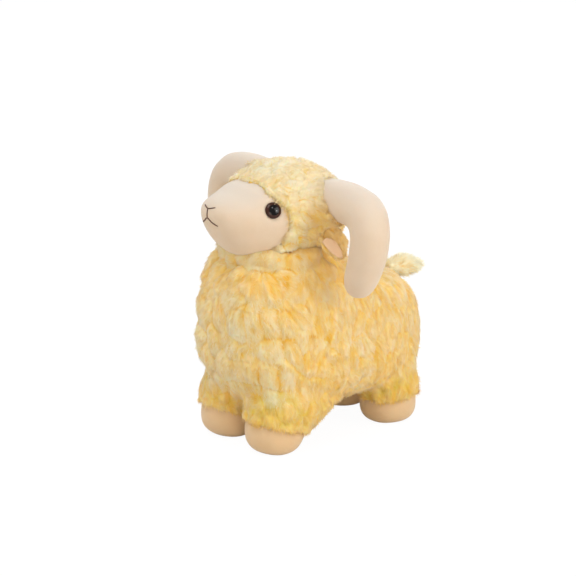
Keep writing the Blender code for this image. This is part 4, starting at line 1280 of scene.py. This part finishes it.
def laid_thread(name, knots, muzzle_tree, material):
    """A round thread laid on the muzzle along knots given as (across, height)."""
    line = []
    for (x0, z0), (x1, z1) in zip(knots, knots[1:]):
        for step in range(THREAD_STEPS):
            line.append((x0 + (x1 - x0) * step / THREAD_STEPS, z0 + (z1 - z0) * step / THREAD_STEPS))
    line.append(knots[-1])
    smooth = np.array(line)
    for _ in range(THREAD_ROUNDS):
        smooth[1:-1] = (smooth[:-2] + smooth[1:-1] * 2 + smooth[2:]) / 4
    laid = []
    for across, height in smooth:
        point, normal, _, _ = muzzle_tree.ray_cast(Vector((across, -1.0, height)), Vector((0, 1, 0)))
        laid.append((np.array(point + normal * THREAD_RADIUS * THREAD_LIFT), np.array(normal)))
    angles = (np.arange(THREAD_SIDES) * math.tau / THREAD_SIDES)[:, None]
    shape = bmesh.new()
    loops = []
    for number, (centre, normal) in enumerate(laid):
        along = unit(laid[min(number + 1, len(laid) - 1)][0] - laid[max(number - 1, 0)][0])
        first = unit(normal - along * normal.dot(along))
        second = np.cross(along, first)
        radius = THREAD_RADIUS * (THREAD_END if number in (0, len(laid) - 1) else 1.0)
        ring = centre + radius * (np.cos(angles) * first + np.sin(angles) * second)
        loops.append([shape.verts.new(place) for place in ring])
    for lower, upper in zip(loops, loops[1:]):
        for number in range(THREAD_SIDES):
            after = (number + 1) % THREAD_SIDES
            shape.faces.new((lower[number], lower[after], upper[after], upper[number]))
    for end in (loops[0], loops[-1]):
        shape.faces.new(end)
    item = add_object(name, smooth_mesh(name, shape))
    dress(item, material)
    return item


def make_stitching(muzzle, material):
    """Nose, lip and mouth, laid on the muzzle where the frame has them."""
    low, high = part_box("nose_stitching")
    nose, nose_top, nose_low = high.x - THREAD_RADIUS, high.z - THREAD_RADIUS, low.z + THREAD_RADIUS
    low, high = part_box("mouth_stitching")
    mouth, top, bottom = high.x - THREAD_RADIUS, high.z - THREAD_RADIUS, low.z + THREAD_RADIUS
    out, bend = mouth * MOUTH_BEND[0], top - (top - bottom) * MOUTH_BEND[1]
    lines = {
        "nose": [(-nose, nose_top), (0, nose_low), (nose, nose_top)],
        "mouth": [(-mouth, bottom), (-out, bend), (0, top), (out, bend), (mouth, bottom)],
        "lip": [(0, nose_low), (0, (nose_low + top) / 2), (0, top)],
    }
    tree = tree_of(muzzle.data)
    for name, knots in lines.items():
        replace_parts(laid_thread(name + "_thread", knots, tree, material), name + "_stitching")


def make_camera():
    """The camera of the photograph."""
    azimuth, elevation = math.radians(CAMERA_AZIMUTH), math.radians(CAMERA_ELEVATION)
    back = Vector(
        (math.sin(azimuth) * math.cos(elevation), -math.cos(azimuth) * math.cos(elevation), math.sin(elevation))
    )
    data = bpy.data.cameras.new("camera")
    data.lens = CAMERA_LENS
    data.sensor_width = CAMERA_SENSOR
    item = bpy.data.objects.new("camera", data)
    bpy.context.scene.collection.objects.link(item)
    item.location = Vector(CAMERA_TARGET) + back * CAMERA_DISTANCE
    item.rotation_euler = (-back).to_track_quat("-Z", "Y").to_euler()
    bpy.context.scene.camera = item


def make_light(name, place, size, power, colour):
    """A soft square lamp aimed at the middle of the sheep."""
    data = bpy.data.lights.new(name, "AREA")
    data.shape = "SQUARE"
    data.size = size
    data.energy = power
    data.color = colour
    item = bpy.data.objects.new(name, data)
    bpy.context.scene.collection.objects.link(item)
    item.location = place
    item.rotation_euler = (Vector(LAMP_AIM) - Vector(place)).to_track_quat("-Z", "Y").to_euler()


def seen_by_camera(tree, share, others, camera):
    """Mixes two shaders: one for the camera's own rays, up to a share, and one for all others."""
    path = node_of(tree, "ShaderNodeLightPath")
    factor = node_of(tree, "ShaderNodeMath", operation="MULTIPLY")
    tree.links.new(path.outputs["Is Camera Ray"], factor.inputs[0])
    factor.inputs[1].default_value = share
    mix = node_of(tree, "ShaderNodeMixShader")
    for number, output in enumerate((factor.outputs[0], others, camera)):
        tree.links.new(output, mix.inputs[number])
    return mix.outputs[0]


def glow(tree, kind, strength):
    """A white shader of a given strength."""
    node = node_of(tree, kind)
    node.inputs["Color"].default_value = (*WHITE, 1.0)
    node.inputs["Strength"].default_value = strength
    return node.outputs[0]


def make_floor():
    """A white floor that keeps the shadow."""
    mesh = bpy.data.meshes.new("floor")
    corners = [(x * FLOOR_REACH, y * FLOOR_REACH, 0) for x, y in ((-1, -1), (1, -1), (1, 1), (-1, 1))]
    mesh.from_pydata(corners, [], [(0, 1, 2, 3)])
    material, tree, shader = new_material("floor", 0.9)
    low, high = FLOOR_TONES
    mottle = ramp(tree, noise_node(tree, 3.0), ((0.3, (low, low, low)), (0.7, (high, high, high))))
    tree.links.new(mottle, shader.inputs["Base Color"])
    own = glow(tree, "ShaderNodeEmission", FLOOR_GLOW)
    mixed = seen_by_camera(tree, FLOOR_GLOW_SHARE, shader.outputs[0], own)
    tree.links.new(mixed, tree.nodes["Material Output"].inputs["Surface"])
    mesh.materials.append(material)
    add_object("floor", mesh)


def make_studio():
    """The floor, a white surround and the lamps."""
    make_floor()
    world = bpy.data.worlds.new("world")
    bpy.context.scene.world = world
    world.use_nodes = True
    tree = world.node_tree
    tree.nodes.clear()
    light, backdrop = (glow(tree, "ShaderNodeBackground", strength) for strength in (WORLD_LIGHT, 1.0))
    out = node_of(tree, "ShaderNodeOutputWorld")
    tree.links.new(seen_by_camera(tree, 1.0, light, backdrop), out.inputs["Surface"])
    for lamp in LAMPS:
        make_light(*lamp)
    bpy.context.scene.view_settings.view_transform = "Standard"


def build():
    """Makes the camera, the pieces and the studio."""
    make_camera()
    fleece = fleece_material("fleece", 0.6)
    fibre = fleece_material("fleece_fibre", 0.0)
    # Ears and tail get brighter colours, a painted light
    lit_thin_fleece = fleece_material("lit_thin_fleece", 0.1, THIN_LIGHT_GAIN)
    lit_thin_fibre = fleece_material("lit_thin_fibre", 0.0, THIN_LIGHT_GAIN)
    horn_velour = velour_material("horn_velour", HORN_CREAM, HORN_TOP_LIGHT)
    foot_velour = velour_material("foot_velour", FOOT_CREAM, FOOT_TOP_LIGHT)
    lining = velour_material("lining_velour", LINING_PINK, LINING_TOP_LIGHT)
    eye = eye_material()
    plastic = washer_material()
    muzzle = make_muzzle(velour_material("velour", VELOUR_CREAM, VELOUR_TOP_LIGHT))
    make_stitching(muzzle, thread_material())
    make_body(fleece, fibre)
    make_head(fleece, fibre)
    make_tail(lit_thin_fleece, lit_thin_fibre)
    for side in SIDES:
        make_eye(side, eye)
        make_ear(side, lit_thin_fleece, lit_thin_fibre, lining)
        horn = [f"horn_{side}", f"horn_filling_{side}"]
        make_velour(f"horn_{side}_velour", horn, horn, HORN_SWELL, horn_velour)
        for end in ("front", "rear"):
            foot = f"foot_{end}_{side}"
            nodes = [foot, f"leg_filling_{end}_{side}"]
            make_velour(f"{foot}_velour", nodes, [foot], FOOT_SWELL, foot_velour, True)
        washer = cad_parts["eye_washer_" + side]
        washer.data.materials.clear()
        washer.data.materials.append(plastic)
    make_studio()


build()
